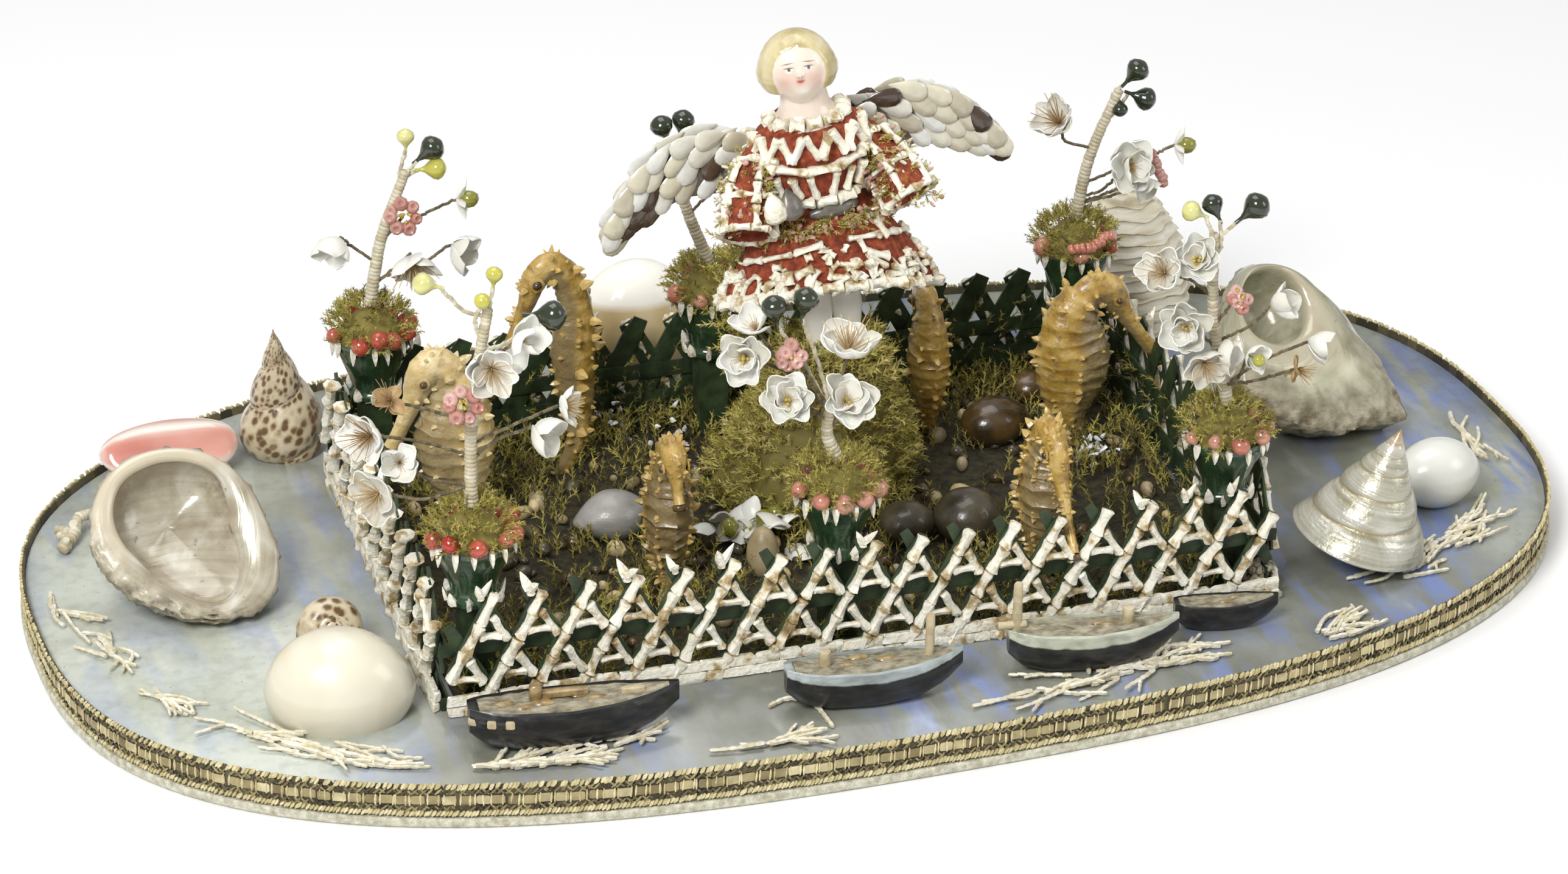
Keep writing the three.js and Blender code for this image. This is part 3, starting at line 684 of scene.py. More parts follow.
def modelMoss(count):
    # a small arching frond with short side leaves
    def spine(share):
        return Vector((.42 * share ** 1.8, 0, .95 * share))
    leaves = [(needle, put(spine(0), spine(.55), (.05, .05, .62))),
              (needle, put(spine(.5), spine(1) - spine(.5), (.04, .04, .62)))]
    for i in range(count):
        around, share = i * 2.4, .1 + .82 * i / count
        run = (spine(share + .05) - spine(share)).normalized()
        aim = run * .8 + polar(around) * .75
        leaves.append((needle, put(spine(share), aim, (.046, .03, .40 - .20 * share), i)))
    return joinModels(leaves)


def modelStamens():
    thread = turnedModel(stamenTan, [(0, 1), (1, .7)], 3)
    threads, count = [], 36
    for i in range(count):
        around, lean = i * 2.4, .12 + .95 * (i / count)
        reach = .85 + .3 * sin(i * 3.1)
        threads.append((thread, put((0, 0, 0), polar(around, lean, 1), (.02, .02, reach))))
    return joinModels(threads)


bones3 = [modelBone(seed) for seed in (3, 5, 8)]
bone = bones3[0]
slab = modelSlab(ivoryBone)
roughSlabs = [modelSlab(ivoryBone, .05) for i in range(3)]
needle = modelNeedle(mossGreen)
petal = modelPetal(petalShell)
bead = modelBead(glassBead)
moss = modelMoss(11)
lowMoss = modelMoss(7)
stamens = modelStamens()
tooth = turnedModel(ivoryBone, [(0, 1), (.3, 1.05), (.7, .65), (1, .12)], 5, .55)
bulb = turnedModel(bulbWax, [(0, .05), (.2, .055), (.33, .11), (.45, .22), (.58, .32), (.72, .355), (.85, .30),
                             (.95, .17), (1, .05)], 12)
dimpled = turnedModel(waxPink, [(-1, .3), (-.7, .75), (0, 1), (.6, .86), (.85, .55), (.7, .3), (.4, .12)], 9)
link = turnedModel(stemCream, [(0, .82), (.2, 1), (.8, 1), (1, .82)], 7)
thinLink = turnedModel(wireBrown, [(0, 1), (1, 1)], 5)
sprigLink = turnedModel(sprigCream, [(0, .75), (.5, 1), (1, .7)], 5)
feather = turnedModel(featherShell, [(0, .06), (.12, .30), (.34, .74), (.62, 1), (.82, .97), (.93, .72),
                                     (1, .22)], 10)
cordLump = turnedModel(buffCord, [(0, .5), (.5, 1), (1, .5)], 5)
loopLump = turnedModel(darkThread, [(0, .6), (.5, 1), (1, .6)], 3)
fishTail = joinModels([(tooth, put((-.04, 0, -.05), (-.45, 0, 1), (.24, .42, .95))),
                       (tooth, put((0, 0, -.02), (.85, 0, .72), (.21, .40, 1.1))),
                       (bone, put((.02, 0, -.30), (0, 0, 1), (.20, .20, .55)))])
print("models made")


# Sea board: an oval painted as a sea, with a papered lip below the braid

board = {"halfLong": 280, "halfWide": 167, "power": 2.62, "turn": 2.1, "sides": 180, "lipTop": 3.5,
         "lipProud": 2.3}


def ovalPath(count, outward=0.0):
    t = np.linspace(0, 2 * np.pi, 4001)
    bend = 2 / board["power"]
    x = board["halfLong"] * np.sign(np.cos(t)) * np.abs(np.cos(t)) ** bend
    y = board["halfWide"] * np.sign(np.sin(t)) * np.abs(np.sin(t)) ** bend
    run = np.concatenate([[0], np.cumsum(np.hypot(np.diff(x), np.diff(y)))])
    marks = np.linspace(0, run[-1], count, endpoint=False)
    spots = np.stack([np.interp(marks, run, x), np.interp(marks, run, y)], 1)
    ahead = np.roll(spots, -1, 0) - np.roll(spots, 1, 0)
    ahead /= np.linalg.norm(ahead, axis=1)[:, None]
    out = np.stack([ahead[:, 1], -ahead[:, 0]], 1)
    turn = radians(board["turn"])
    spin = np.array([[cos(turn), sin(turn)], [-sin(turn), cos(turn)]])
    return (spots + out * outward) @ spin, ahead @ spin, out @ spin, run[-1]


def ovalRing(outward, height):
    spots = ovalPath(board["sides"], outward)[0]
    return np.column_stack([spots, np.full(len(spots), height)])


def buildBoard():
    proud, top = board["lipProud"], board["lipTop"]
    lip = [(-.6, 0), (proud - .7, 0), (proud, .8), (proud, top - .7), (proud - .7, top), (0, top + .1),
           (0, seaTop - .8)]
    sea = [(-.02, seaTop - .8), (-.02, seaTop - .3), (-.4, seaTop)]
    bag = [(sweptModel(finish, [ovalRing(*at) for at in edge]), Matrix(), 0)
           for finish, edge in ((silverLip, lip), (seaPaint, sea))]
    buildPiece("painted_sea_board", bag, "sea_board", ["sea_board"], 40)


buildBoard()

braid = {"pitch": 5.3, "low": 3.9, "high": 16.9, "cord": 1.35, "middle": 10.4, "outward": .35}


def buildBraid():
    count = round(ovalPath(400)[3] / braid["pitch"])
    spots, ahead, out, length = ovalPath(count, braid["outward"])
    pitch = length / count * 1.01
    low, high, cord, middle = braid["low"], braid["high"], braid["cord"], braid["middle"]
    unit = [(inFinish(slab, darkThread),
             put((0, -.1, (low + high) / 2), size=(pitch * 1.04, .9, high - low - 2)))]
    for height in (low + cord, high - cord):
        for k in range(4):
            start = (pitch * (k / 4 - .5), -.85, height - .95)
            unit.append((cordLump, put(start, (.75, -.04, 1), (.82, .75, 2.5))))
    for height in (middle - 3.3, middle + 3.3):
        for half in (-.5, 0):
            for lean in (1, -1):
                start = (pitch * half, -.75 - .2 * (lean > 0), height - lean * 1.1)
                unit.append((loopLump, put(start, (1, 0, lean * .95), (.5, .5, 3.1))))
    unit.append((inFinish(slab, goldPlate), put((-.3, -.8, middle), size=(pitch * .86, .7, 3.3))))
    for step in (-.5, .18):
        unit.append((inFinish(cordLump, buffCord),
                     put((pitch * step, -.95, middle - 2), (.05, -.02, 1), (.55, .5, 4))))
    bag = []
    for spot, along, outward in zip(spots, ahead, out):
        place = Matrix(((along[0], -outward[0], 0, spot[0]), (along[1], -outward[1], 0, spot[1]), (0, 0, 1, 0),
                        (0, 0, 0, 1)))
        sag = Matrix.Translation((0, 0, stray(.12)))
        lay(bag, unit[0][0], place @ unit[0][1], .3 * chance())
        for model, local in unit[1:]:
            slip = Matrix.Translation(dice.normal(0, .09, 3)) @ Matrix.Rotation(stray(.04), 4, "Y")
            lay(bag, model, place @ sag @ slip @ local, chance() ** 1.3)
    buildPiece("woven_braid", bag, "braid", ["braid_edge"], 60)


buildBraid()
print("board and braid done")


# Fences: crossed green card strips, faced outside with bones

fence = {"height": 45.5, "crossings": (8.0, 23.5, 39.0), "card": 1.1, "rail": 6.2, "bone": 2.05, "tail": 6.8,
         "slabHigh": 3.9, "slabLong": 9.0}
panels = {
    "front": {"start": (-156.5, -103.8), "along": (1, 0), "length": 304, "cells": 18, "bars": True, "tails": .5,
              "strip": 4.8, "kick": 6},
    "back": {"start": (147.5, 87.8), "along": (-1, 0), "length": 304, "cells": 18, "tails": .3, "strip": 7.8,
             "kick": 15},
    "left": {"start": (-155.3, 86.3), "along": (0, -1), "length": 188.6, "cells": 11, "tails": .2, "strip": 5.4,
             "kick": 6, "cross": .35},
    "right": {"start": (146.3, -102.3), "along": (0, 1), "length": 188.6, "cells": 11, "tails": .3,
              "strip": 7.0, "kick": 12},
}


def buildFence(side, plan):
    (x, y), (ax, ay) = plan["start"], plan["along"]
    place = Matrix(((ax, -ay, 0, x), (ay, ax, 0, y), (0, 0, 1, seaTop), (0, 0, 0, 1)))
    length, wide, kick, boneGirth = plan["length"], plan["strip"], plan["kick"], fence["bone"]
    pitch, top, high = length / plan["cells"], fence["height"], fence["slabHigh"]
    lower, middle, upper = fence["crossings"]
    slope = pitch / (upper - lower)
    margin = wide * .55
    card = inFinish(slab, greenCard)
    cards, bones = [], []

    def strip(u0, v0, u1, v1, depth, width, thick):
        span = Vector((u1 - u0, 0, v1 - v0))
        turn = Matrix.Rotation(-atan2(span.z, span.x), 4, "Y") @ sized(span.length, thick, width)
        lay(cards, card, place @ moved((u0 + u1) / 2, depth, (v0 + v1) / 2) @ turn, chance())

    def boneAt(u0, v0, u1, v1, girth, depth=-2.0):
        wob = dice.normal(0, .35, 4)
        aim = (u1 - u0 + wob[0], wob[1] * .6, v1 - v0 + wob[2])
        reach = hypot(u1 - u0, v1 - v0)
        size = (girth * draw(.85, 1.15), girth * draw(.85, 1.1), reach * draw(.92, 1.04))
        spot = place @ put((u0, depth, v0), aim, size, draw(-.5, .5))
        lay(bones, bones3[dice.integers(3)], spot, chance())

    for i in range(-2, plan["cells"] + 2):
        for lean, depth in ((1, -.6), (-1, .6)):
            foot = i * pitch - lean * slope * lower + (0 if lean > 0 else pitch)
            tip = top + (2.2 if lean < 0 else .6) - wide * .35
            inside = [v for v in np.linspace(.4, tip, 60) if margin < foot + lean * slope * v < length - margin]
            if len(inside) < 6:
                continue
            v0, v1 = inside[0], inside[-1]
            u0, u1 = foot + lean * slope * v0, foot + lean * slope * v1
            strip(u0, v0, u1, v1, depth, wide, fence["card"])
            if lean > 0:
                # bones end to end up the strips in front
                count = max(1, round((v1 - v0) / 9.2))
                for k in range(count):
                    va, vb = v0 + (v1 - v0) * k / count, v0 + (v1 - v0) * (k + 1) / count
                    boneAt(foot + slope * va, va, foot + slope * vb, vb,
                           boneGirth * (1.4 if "cross" in plan else 1.12))
                continue
            # short bones between the crossings, some with a level bar
            for va, vb in ((upper, middle), (middle, lower)):
                ua, ub = foot - slope * va, foot - slope * vb
                if 2 < ua and ub < length - 2 and chance() < plan.get("cross", 1):
                    boneAt(ua + .16 * (ub - ua), va + .16 * (vb - va), ua + .80 * (ub - ua),
                           va + .80 * (vb - va), boneGirth * .95)
                    rise = vb + (va - vb) * .36
                    start = ua - slope * (va - rise) + 1.8
                    if "bars" in plan and start > 2:
                        boneAt(start, rise, min(start + pitch * .50, length - 2), rise + stray(.4),
                               boneGirth * .78, -1.7)
            if v1 > top - 3 and chance() < plan["tails"]:
                spot = place @ put((u1 + 1.5, -1.6, v1 - 1.0), (stray(.12), -.1, 1),
                                   fence["tail"] * draw(.85, 1.1))
                lay(bones, fishTail, spot, chance() * .5)
    strip(0, middle, length, middle, 1.75, fence["rail"], 1.0)
    strip(0, kick / 2, length, kick / 2, 1.75, kick, 1.0)
    # two courses of flat slabs along the foot
    for course in (0, 1):
        u = draw(0, 4)
        while u < length - 3:
            long = min(fence["slabLong"] * draw(.6, 1.3), length - u)
            spot = place @ moved(u + long / 2, -2.3 - .3 * (1 - course) + stray(.15), high * (course + .5) + .1)
            spot = spot @ Matrix.Rotation(stray(.03), 4, "Y") @ sized(long * .97, 2.5, high * .97)
            lay(bones, roughSlabs[dice.integers(3)], spot, chance())
            u += long
    buildPiece("lattice_cards_" + side, cards, "green_card", ["fence_" + side], 30)
    buildPiece("lattice_bones_" + side, bones, "white_shell", (), 42)


for side, plan in panels.items():
    buildFence(side, plan)
for name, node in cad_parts.items():
    if name.startswith("post_"):
        node.data.materials.clear()
        node.data.materials.append(greenCard)
print("fences done")


# Urns: varnished cups with tooth crowns, beads and moss

urns = {
    "front_left": {"at": (-140.8, -89.3), "red": .75, "beads": 9},
    "front_middle": {"at": (-12, -91.3), "red": .12, "beads": 9},
    "front_right": {"at": (131.8, -89.3), "red": .15, "beads": 8},
    "back_left": {"at": (-140.8, 73.3), "red": .7, "beads": 9},
    "back_middle": {"at": (-12, 73.3), "red": .3, "beads": 7},
    "back_right": {"at": (131.8, 73.3), "red": .25, "beads": 5,
                   "bar": [(-7, -15, 78), (1, -16.5, 79.5), (11, -13, 82)]},
}
cup = {
    "profile": [(49, 9.4), (50.6, 9.6), (51.4, 8.6), (53, 8.0), (57, 9.0), (63, 11.4), (69, 13.8), (72, 14.5),
                (72.6, 14.2), (72, 13.3), (70, 12.4)],
    "heap": [(70.5, 12.8), (74, 12.4), (77.5, 9.8), (80.5, 6.5), (82.5, 3)],
    "beadGirth": (2.6, 3.7), "beadRing": (14.6, 75), "beadArc": (-2.9, 5.4),
    "sprigs": 350, "sprigSize": 5.2, "mossGirth": 14.2, "mossFoot": 72, "mossTall": 13,
}
# teeth hang from the rim and stand round the foot
crowns = [
    {"teeth": 14, "stray": .06, "ring": (14.3, 72.6), "aim": (.12, -1), "wide": 2.0, "long": (5, 7),
     "tint": .4},
    {"teeth": 10, "stray": .08, "ring": (9.4, 49.2), "aim": (.28, 1), "wide": 1.8, "long": (4.5, 6.5),
     "tint": .5},
]


def mossTuft(bag, place, aim, size, tint, model=moss):
    aim = Vector(aim) + jitter(.28)
    lay(bag, model, put(place, aim, size * draw(.7, 1.25), draw(0, 6.3)), tint)


def mossTint(shift=0.0):
    return float(np.clip(dice.beta(2, 2) + shift, 0, 1))


def buildUrn(name, plan):
    x, y = plan["at"]
    middle = Vector((x, y, 0))
    home = moved(x, y, 0)
    bag = [(turnedModel(urnVarnish, cup["profile"], 20), home, 0),
           (turnedModel(mossGreen, cup["heap"], 14), home, .22)]
    for crown in crowns:
        for around in circle(crown["teeth"]):
            around += stray(crown["stray"])
            size = (crown["wide"], crown["wide"], draw(*crown["long"]))
            spot = put(middle + polar(around, *crown["ring"]), polar(around, *crown["aim"]), size, around)
            lay(bag, tooth, spot, chance() * crown["tint"])
    (far, height), (first, arc) = cup["beadRing"], cup["beadArc"]
    for i in range(plan["beads"]):
        around = first + i * arc / plan["beads"] + stray(.08)
        girth = draw(*cup["beadGirth"])
        spot = middle + polar(around, far, height + stray(.8))
        tint = float(np.clip(plan["red"] + stray(.2), 0, 1))
        lay(bag, bead, put(spot, dice.normal(0, 1, 3), (girth, girth, girth * 1.1)), tint)
    for i in range(cup["sprigs"]):
        around, rise = draw(0, 2 * pi), chance() ** .8
        far = cup["mossGirth"] * sqrt(max(.03, 1 - rise ** 2.2))
        spot = middle + polar(around, far, cup["mossFoot"] + cup["mossTall"] * rise)
        mossTuft(bag, spot, polar(around, 1, .25 + 1.2 * rise), cup["sprigSize"], mossTint(-.02))
    if "bar" in plan:
        bar = [(x + right, y + behind, height) for right, behind, height in plan["bar"]]
        chain(bag, inFinish(link, glassBead), bar, 2.3, 2.0, tint=.25, wobble=.5)
    buildPiece("moss_urn_" + name, bag, "urn_green", ["urn_" + name], 45)


for name, plan in urns.items():
    buildUrn(name, plan)
print("urns done")


# Sprays: wrapped stems with wires to bulbs, wax rosettes and shell flowers
# each end is its kind, its step right of and behind the urn, its height, its size, and where it faces

sprays = {
    "front_left": {"tip": (7.8, 0, 157), "ends": [
        ("yellow", 10, 1, 163, 8.5, (.1, 0, 1)), ("pale", -7, -1, 167, 11, (-1, 0, .35)),
        ("yellow", 5, -1, 158, 8, (0, -.5, .6)), ("dark", 19, -2, 154, 15, (1, -.1, -.1)),
        ("petals", 17, -5, 146, 12, (.6, -.6, .5)), ("stamen", 7, -6, 138, 12, (-.1, -.8, .1)),
        ("rosette", -3, -7, 126, 7.5, (-.1, -1, .4)), ("petals", 22, -5, 113, 13, (.6, -.7, -.2)),
        ("stamen", 31, -3, 119, 9, (1, -.5, .1)), ("stamen", -33, 1, 115, 12, (-.7, -.6, .2)),
        ("stamen", -31, 1, 93, 13, (-.7, -.6, .1)), ("dried", -26, 1, 127, 8, (-.5, -.5, .6)),
        ("petals", -24, 0, 104, 11, (-.2, -.8, .4)), ("petals", 12, 2, 134, 11, (.3, -.6, .6))]},
    "front_middle": {"tip": (-2.6, 0, 104), "ends": [
        ("flower", -19, -4, 111.5, 13, (-.25, -1, .55)), ("flower", 1, -6, 109, 14, (.05, -1, .6)),
        ("cup", 4, 1, 124, 15, (.05, -.2, 1)), ("flower", -32, 2, 127, 14, (-.6, -.8, .25)),
        ("cluster", -16.8, -2, 127.5, 7, (0, -1, .3)), ("dark", -21, 1, 136, 13, (-.15, 0, 1)),
        ("dark", -12.5, 2, 137, 13, (.2, 0, 1)), ("petals", -28, 4, 136, 12, (-.4, -.4, .9))]},
    "front_right": {"tip": (-7.8, 0, 151), "ends": [
        ("pale", -10, 0, 157.5, 10.5, (-1, 0, .5)), ("dark", -4.7, 1, 154, 11, (-.3, .4, .8)),
        ("dark", 0, 0, 154, 14, (.9, 0, .65)), ("flower", -14, -2, 143, 11, (-.3, -.7, .5)),
        ("stamen", -26, -2, 139, 12, (-.6, -.5, .6)), ("cluster", 0, -5, 127.6, 7, (0, -1, .3)),
        ("petals", 15, -1, 120.7, 12, (.7, -.5, .4)), ("flower", -17.6, -3, 118, 13, (-.5, -.9, .3)),
        ("stamen", -11, -4, 104, 11, (-.1, -1, -.1)), ("petals", -4.8, -3, 107, 11, (.5, -.8, -.1)),
        ("amber", 6.8, -2, 103, 7, (.4, -1, 0)), ("dried", 25.5, 0, 94, 7, (.8, -.4, -.3)),
        ("petals", 30, 0, 104, 10, (.9, -.5, -.2))]},
    "back_left": {"tip": (15, 0, 136), "ends": [
        ("pale", 15.4, 0, 143, 9.5, (.02, 0, 1)), ("dark", 18, 1, 138, 13.5, (.9, 0, .65)),
        ("yellow", 18, -1, 136.5, 12, (1, 0, -.05)), ("rosette", 12.8, -4, 120, 7.5, (-.1, -1, .4)),
        ("star", 34.8, 0, 122.5, 7, (1, -.3, 0)), ("petals", -10.7, -2, 113, 12, (-.5, -.6, -.6)),
        ("stamen", 14.9, -5, 104, 13, (0, -.6, -.7)), ("petals", 31, -4, 106, 13, (.7, -.7, -.3))]},
    "back_middle": {"tip": (-13, 1, 133), "ends": [
        ("dark", -15, 0, 134, 12.5, (-.35, 0, 1)), ("dark", -11, 1, 134.5, 12.5, (.2, 0, 1)),
        ("flower", 6, 4, 118, 12, (.4, .6, .7))]},
    "back_right": {"tip": (16.1, 0, 135), "ends": [
        ("dark", 17, 0, 136, 13, (.75, 0, .75)), ("dark", 18, -1, 134.5, 13, (1, -.1, -.45)),
        ("dark", 15.5, 0, 133.5, 9, (.1, -.2, -.9)), ("stamen", -7, 0, 124, 12, (-.6, -.4, .7)),
        ("flower", 18, -5, 105, 15, (.3, -.9, .3)), ("coral", 31.9, -3, 101, 7, (.2, -1, 0)),
        ("star", 40.1, -1, 110, 7, (1, -.4, 0)), ("petals", 24.7, -3, 97, 9, (.5, -.6, -.5))]},
}
stem = {"foot": (0, 0, 84), "bend": (-2.2, 1, 0), "girth": 2.5, "step": 1.5, "taper": .75, "wire": .6,
        "bulbWire": .75, "wireStep": 1.8}
bulbTints = {"dark": .05, "yellow": .72, "pale": .92, "olive": .52, "amber": .66}


def addPetals(bag, spot, aim, size, count, openness, spin=0.0):
    aim, side, up = aroundAim(aim)
    for around in circle(count):
        out = swung(side, up, spin + around + stray(.1))
        long = (out * openness + aim * (1 - openness * .75)).normalized()
        face = (aim - long * aim.dot(long)).normalized()
        reach = size * draw(.85, 1.15)
        shape = sized(reach * draw(.85, 1.2), reach, reach * draw(.5, 1.5))
        place = moved(*(spot + out * size * .06)) @ Matrix((long.cross(face), long, face)).transposed().to_4x4()
        lay(bag, petal, place @ Matrix.Rotation(stray(.25), 4, "Y") @ shape, chance())


def addEnd(bag, kind, spot, size, aim):
    spot, aim = Vector(spot), Vector(aim).normalized()
    if kind in ("dark", "yellow", "pale"):
        lay(bag, bulb, put(spot, aim, size), bulbTints[kind] + stray(.02))
    elif kind == "amber":
        lay(bag, bulb, put(spot, aim, size), bulbTints[kind])
        addPetals(bag, spot, aim, size, 4, .7)
    elif kind == "flower":
        addPetals(bag, spot, aim, size * .80, 6, .84, draw(0, 6))
        addPetals(bag, spot + aim * .9, aim, size * .64, 5, .56, draw(0, 6))
        lay(bag, stamens, put(spot, aim, size * .42), .9)
        for i in range(7):
            tip = spot + aim * 2.6 + jitter(1.1)
            lay(bag, bead, put(tip, size=.7), chance(), petalHeart)
    elif kind == "cup":
        addPetals(bag, spot, aim, size * .75, 6, .8, .3)
        lay(bag, stamens, put(spot, aim, size * .85), .7)
    elif kind == "stamen":
        addPetals(bag, spot, aim, size * .85, 6, .75, draw(0, 6))
        lay(bag, stamens, put(spot, aim, size * .95), chance())
    elif kind == "petals":
        addPetals(bag, spot, aim, size * .85, 4, .6, draw(0, 6))
        lay(bag, stamens, put(spot - aim, aim, size * .45), .3)
    elif kind in ("rosette", "cluster"):
        axis, side, up = aroundAim(aim)
        for i in range(7 if kind == "rosette" else 8):
            far = size * (.62 if kind == "rosette" else draw(.1, .75))
            out = swung(side, up, i * 2 * pi / 6.5)
            girth = size * draw(.30, .40)
            place = put(spot + out * far + axis * draw(0, 1.5), axis + out * .3, girth)
            lay(bag, dimpled, place, chance())
        for i in range(8):
            place = put(spot + axis * 1.6 + jitter(1), size=.65)
            lay(bag, bead, place, chance(), petalHeart)
    elif kind == "star":
        axis, side, up = aroundAim(aim)
        for around in circle(6):
            out = swung(side, up, around)
            lay(bag, tooth, put(spot + out, out + axis * .35, (1.7, 1.4, size)), .5, petalShell)
        lay(bag, bead, put(spot + axis * 3.2, axis, (3.3, 3.3, 3.9)), bulbTints["olive"], bulbWax)
    elif kind == "dried":
        for i in range(5):
            lay(bag, petal, put(spot, aim + jitter(.5), size * .8, i), .2, stamenTan)
        lay(bag, stamens, put(spot, aim, size), .1)
    elif kind == "coral":
        branch = [spot + Vector((dx, 0, dz)) for dx, dz in ((-3, 8), (-1, 3), (0, 0), (3, -6))]
        chain(bag, inFinish(link, waxPink), branch, 2.1, 2.2, tint=.3, wobble=.5)


def buildSpray(name, plan):
    home, foot, tip = Vector((*urns[name]["at"], 0)), Vector(stem["foot"]), Vector(plan["tip"])
    bend = (foot + tip) / 2 + Vector(stem["bend"])
    bag = []
    run = [foot + home, bend + home, tip + home]
    chain(bag, link, run, stem["girth"], stem["step"], stem["taper"], wobble=.05)
    stalk = smoothPath(run, 1.0)
    for kind, right, behind, height, size, aim in plan["ends"]:
        spot = home + Vector((right, behind, height))
        share = min(max((height - 12 - foot.z) / (tip.z - foot.z), .12), .97)
        root = Vector(stalk[int(share * (len(stalk) - 1))])
        isBulb = kind in ("dark", "yellow", "pale")
        back = spot + Vector(aim).normalized() * size * (.12 if isBulb else -.1)
        sag = (root + back) / 2 + jitter(1.6)
        wire, girth = (inFinish(thinLink, stemCream), "bulbWire") if isBulb else (thinLink, "wire")
        chain(bag, wire, [root, sag, back], stem[girth], stem["wireStep"], wobble=.22)
        addEnd(bag, kind, spot, size, aim)
    buildPiece("flower_spray_" + name, bag, "shell_flower", ["spray_" + name], 60)


for name, plan in sprays.items():
    buildSpray(name, plan)
print("sprays done")


# Moss mound in the middle of the garden

mound = {"foot": (10, 18), "head": (18, 13), "footGirth": 37, "top": 76.0, "sides": 28, "sprigs": 1450,
         "crown": 160, "hem": 230, "climbing": 230, "rises": (0, .08, .2, .35, .5, .65, .8, .9, .97)}


def moundSpot(around, rise):
    girth = mound["footGirth"] * (1 - rise ** 1.4 * .62)
    girth *= 1 + .09 * sin(around * 3 + rise * 5) + .05 * sin(around * 7)
    (x0, y0), (x1, y1) = mound["foot"], mound["head"]
    middle = Vector((x0 + (x1 - x0) * rise, y0 + (y1 - y0) * rise, seaTop + (mound["top"] - seaTop) * rise))
    return middle + polar(around, girth)


def buildMound():
    rings = []
    for rise in mound["rises"]:
        ring = [moundSpot(around, rise) for around in circle(mound["sides"])]
        middle = sum(ring, Vector()) / mound["sides"]
        rings.append([middle + (spot - middle) * (.93 if rise < mound["rises"][-1] else .6) for spot in ring])
    bag = [(sweptModel(mossGreen, rings), Matrix(), .15)]
    for i in range(mound["sprigs"]):
        around, rise = draw(0, 2 * pi), chance() ** 1.1
        out = polar(around, 1, .45 + .5 * chance())
        mossTuft(bag, moundSpot(around, rise) - out * 1.5, out, 7.6,
                 mossTint(.12 + .05 * sin(around * 2) + .10 * rise))
    for i in range(mound["crown"]):
        around, far = draw(0, 2 * pi), mound["footGirth"] * .36 * sqrt(chance())
        spot = Vector((*mound["head"], 0)) + polar(around, far, mound["top"] - 2)
        mossTuft(bag, spot, polar(around, 1, 1.2), 7.5, mossTint(.2))
    # longer sprigs that reach up to the hem
    for i in range(mound["hem"]):
        around, rise = draw(0, 2 * pi), draw(.78, 1)
        out = polar(around, 1, 1.1)
        mossTuft(bag, moundSpot(around, rise) - out * 2, out, 11, mossTint(.22))
    # moss that climbs beside the skirt, left of the doll
    for i in range(mound["climbing"]):
        rise = chance()
        spot = (-11 - 4 * rise + stray(6 - 3 * rise), 21 + stray(4), 68 + 50 * rise)
        mossTuft(bag, spot, (-.7, -.35, .6), 7.5, mossTint(.15))
    buildPiece("moss_mound", bag, "moss", ["mound"], 30)


buildMound()


# Doll: china head and legs, red dress with bone trim, shell wings

doll = {"at": (18.5, 12, 77.5), "lean": -7.1, "headZ": 110, "headGirth": 14, "faceTurn": -10, "facePitch": 10,
        "neck": [(89.5, 14.5), (91.5, 12.5), (93.5, 10.4), (96, 9), (100, 8.4), (107, 8.6)]}
dollFrame = moved(*doll["at"]) @ spun(doll["lean"], "Y")


def buildHead():
    clearSelection()
    bpy.ops.mesh.primitive_uv_sphere_add(segments=112, ring_count=72, radius=1)
    obj = bpy.context.object
    hair = []

    def bump(value, middle, reach):
        return exp(-((value - middle) / reach) ** 2)

    def face(co):
        right, up, forward = co.x, co.z, -co.y
        ahead = max(0, forward)
        edge = .68 - .10 * max(0, -up - .1)
        side = min(abs(right) / edge, 1)
        hairline = .66 * sqrt(1 - side ** 2.6) + .05 * bump(right, 0, .08)
        inside = min(edge - abs(right), hairline - up, (forward - .12) * 2)
        share = min(1, max(0, .5 - inside / .08)) * min(1, max(0, (up + .62) / .12))
        hair.append(share)
        right *= 1 - (1 - share) * .42 * max(0, -up - .08)
        forward += ahead * (.07 * bump(up, -.60, .2) * bump(right, 0, .35)
                            - .05 * bump(abs(right), .27, .13) * bump(up, .15, .09)
                            + .03 * bump(right, 0, .13) * bump(up, -.18, .06) - .08)
        forward += .13 * bump(right, 0, .085) * bump(up, -.02, .10) * (ahead > .5)
        roll = .08 * bump(up, -.12, .36) * min(1, abs(right) / .7) ** 2
        strand = .005 * sin(34 * atan2(up + .25, abs(right) + .15))
        grow = 1 + share * (.05 + roll + strand - .035 * bump(right, 0, .035) * (up > .3))
        return Vector((right * grow, -forward * (1 + share * (.05 + strand)), up * (1 + share * .05)))
    shapeVerts(obj, face)
    marks = obj.data.attributes.new("flow", "FLOAT_VECTOR", "POINT")
    for vert, mark in zip(obj.data.vertices, marks.data):
        mark.vector = (vert.co.x, vert.co.z, -vert.co.y)
    skull = takeModel(paintedChina)
    neck = turnedModel(paintedChina, doll["neck"], 28, .80)
    girth = doll["headGirth"]
    spot = (dollFrame @ moved(-1.2, 0, doll["headZ"]) @ spun(doll["faceTurn"]) @ spun(-doll["facePitch"], "X")
            @ sized(girth * .93, girth * .92, girth * .95))
    obj = buildPiece("china_head", [(skull, spot, 0), (neck, dollFrame, 0)], "china", ["doll_head"], 60)
    values = np.zeros(len(obj.data.vertices))
    values[:len(hair)] = hair
    obj.data.attributes["tint"].data.foreach_set("value", values)


buildHead()

